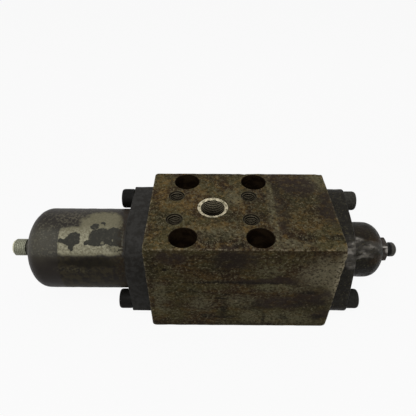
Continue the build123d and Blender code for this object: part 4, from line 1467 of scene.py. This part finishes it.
class VALVE_OT_nipple(bpy.types.Operator):
    """Build the threaded pilot nipple with its cone seat"""

    bl_idname = "valve.nipple"
    bl_label = "Pilot Nipple"

    def execute(self, context):
        pitch = context.scene.valve_sizes.screw_pitch / MM
        mouth_x = NIPPLE_LOW.x
        length, shank_end = COVER_LOW.x - mouth_x, NIPPLE_HIGH.x - mouth_x
        core, crest = 6.25, 7.0
        profile = [
            (9.9, 2.5), (0.25, 4.85), (0.0, 5.05), (0.0, 5.55), (0.25, 5.85), (1.25, core + 0.15),
            (1.5, core), (length - 1.3, core), (length - 0.9, crest - 0.05), (length, crest - 0.05),
            (length, 6.0), (shank_end - 0.4, 6.0), (shank_end, 5.6), (shank_end, 2.5),
        ]
        body = turned_piece("pipe_nipple", profile, 96, "zinc_steel", on_axis(mouth_x), hollow=True)
        values = (core - 0.05, crest, pitch, (length - 2.9) / pitch, 80)
        ridge = thread_ridge("nipple_thread", "zinc_steel", on_axis(mouth_x + 1.35), *values)
        dress("pipe_nipple", [body, ridge], "pilot_nipple")
        return {"FINISHED"}


class VALVE_OT_adjusting_screw(bpy.types.Operator):
    """Build the stroke screw: plain tip, thread, and a smooth end with a hexagon socket"""

    bl_idname = "valve.adjusting_screw"
    bl_label = "Adjusting Screw"

    def execute(self, context):
        pitch = context.scene.valve_sizes.tap_pitch / MM
        low = ADJUSTER_LOW.x
        length = ADJUSTER_HIGH.x - low
        core, crest, tip, key, dome_depth = 5.1, 6.0, 4.0, hexagon_reach(6.0), 3.4
        thread_end = length - 5.6
        dome = arc_points((length + 0.45 - dome_depth, 0.0), (dome_depth, crest), 90.0, 40.0, 8)
        mouth = dome[-1][0]
        profile = [
            (0.0, 0.05), (0.0, tip - 0.3), (0.3, tip), (3.5, tip), (3.5, core - 0.5), (4.0, core),
            (thread_end - 0.6, core), (thread_end, crest - 0.35), (thread_end + 0.5, crest), *dome,
            (mouth + 0.15, 3.75), (mouth - 0.2, key), (length - 6.5, key), (length - 7.2, 2.4),
            (length - 7.6, 0.05),
        ]
        body = turned_piece("stroke_screw", profile, 96, "dark_steel", on_axis(low))
        values = (core - 0.05, crest, pitch, (thread_end - 5.2) / pitch, 80)
        ridge = thread_ridge("stroke_thread", "black_screw", on_axis(low + 4.4), *values)
        dress("stroke_screw", [body, ridge], "adjusting_screw", "adjusting_screw")
        return {"FINISHED"}


class VALVE_OT_lock_nut(bpy.types.Operator):
    """Build the thin lock nut, chamfered outside, with a recess for its seal"""

    bl_idname = "valve.lock_nut"
    bl_label = "Lock Nut"

    def execute(self, context):
        height = NUT_HIGH.x - NUT_LOW.x
        flats, recess = 19.0, 1.4
        side = hexagon_reach(flats - 0.1, math.radians(-50.0))
        ring = flats / 2 - 0.35

        def slope(share, start=0.0):
            return lambda angle: start + (side(angle) - ring) * share

        profile = [
            (recess, 6.2), (recess, 8.4), (0.0, 8.4), (0.0, 9.15), (slope(0.25), side),
            (slope(-0.55, height - 0.25), side), (slope(-0.55, height), lambda angle: side(angle) - 0.16),
            (height - 0.02, ring), (height, ring - 0.35), (height, 7.0), (height - 0.7, 6.2),
        ]
        place = on_axis(NUT_LOW.x)
        body = turned_piece("thin_lock_nut", profile, 144, "nut_steel", place, True, 30.0)
        dress("thin_lock_nut", [body], "lock_nut", "lock_nut")
        return {"FINISHED"}


class VALVE_OT_spring(bpy.types.Operator):
    """Wind the main spring"""

    bl_idname = "valve.spring"
    bl_label = "Main Spring"

    def execute(self, context):
        turns = context.scene.valve_sizes.spring_turns
        length = SPRING_HIGH.x - SPRING_LOW.x
        mean = (SPRING_HIGH.y - SPRING_LOW.y) / 2 - SPRING_WIRE_RADIUS
        values = (mean, SPRING_WIRE_RADIUS, length, turns)
        coil = coil_spring("wound_spring", "spring_steel", on_axis(SPRING_LOW.x), *values)
        dress("wound_spring", [coil], "main_spring")
        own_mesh(coil)
        return {"FINISHED"}


class VALVE_OT_inner_parts(bpy.types.Operator):
    """Give their finishes to the frame's own nodes that stay as they are"""

    bl_idname = "valve.inner_parts"
    bl_label = "Inner Parts"

    def execute(self, context):
        for row in frame["record"]["subparts"]:
            node = frame["nodes"][row["node"]]
            if not node.hide_render:
                node.data.materials.clear()
                node.data.materials.append(finish(row["material_slot"]))
        return {"FINISHED"}


STEPS = (
    VALVE_OT_stage, VALVE_OT_block, VALVE_OT_spring_cover, VALVE_OT_end_cover, VALVE_OT_cover_screws,
    VALVE_OT_nipple, VALVE_OT_adjusting_screw, VALVE_OT_lock_nut, VALVE_OT_spring, VALVE_OT_inner_parts,
)


class VALVE_PT_dresser(bpy.types.Panel):
    """Sizes, colours and steps of the valve"""

    bl_idname = "VALVE_PT_dresser"
    bl_label = "Hydraulic Valve"
    bl_space_type = "VIEW_3D"
    bl_region_type = "UI"
    bl_category = "Valve"

    def draw(self, context):
        for step in STEPS:
            self.layout.operator(step.bl_idname)
        for group in (context.scene.valve_sizes, context.scene.valve_colours):
            column = self.layout.column(align=True)
            for key in group.__annotations__:
                column.prop(group, key)


CLASSES = (ValveSizes, ValveColours, *STEPS, VALVE_PT_dresser)


def register():
    for entry in CLASSES:
        bpy.utils.register_class(entry)
    bpy.types.Scene.valve_sizes = bpy.props.PointerProperty(type=ValveSizes)
    bpy.types.Scene.valve_colours = bpy.props.PointerProperty(type=ValveColours)


def unregister():
    del bpy.types.Scene.valve_colours
    del bpy.types.Scene.valve_sizes
    for entry in reversed(CLASSES):
        bpy.utils.unregister_class(entry)


def main():
    """Dresses the whole valve."""
    register()
    for step in STEPS:
        prefix, name = step.bl_idname.split(".")
        getattr(getattr(bpy.ops, prefix), name)()


if __name__ == "__main__":
    main()
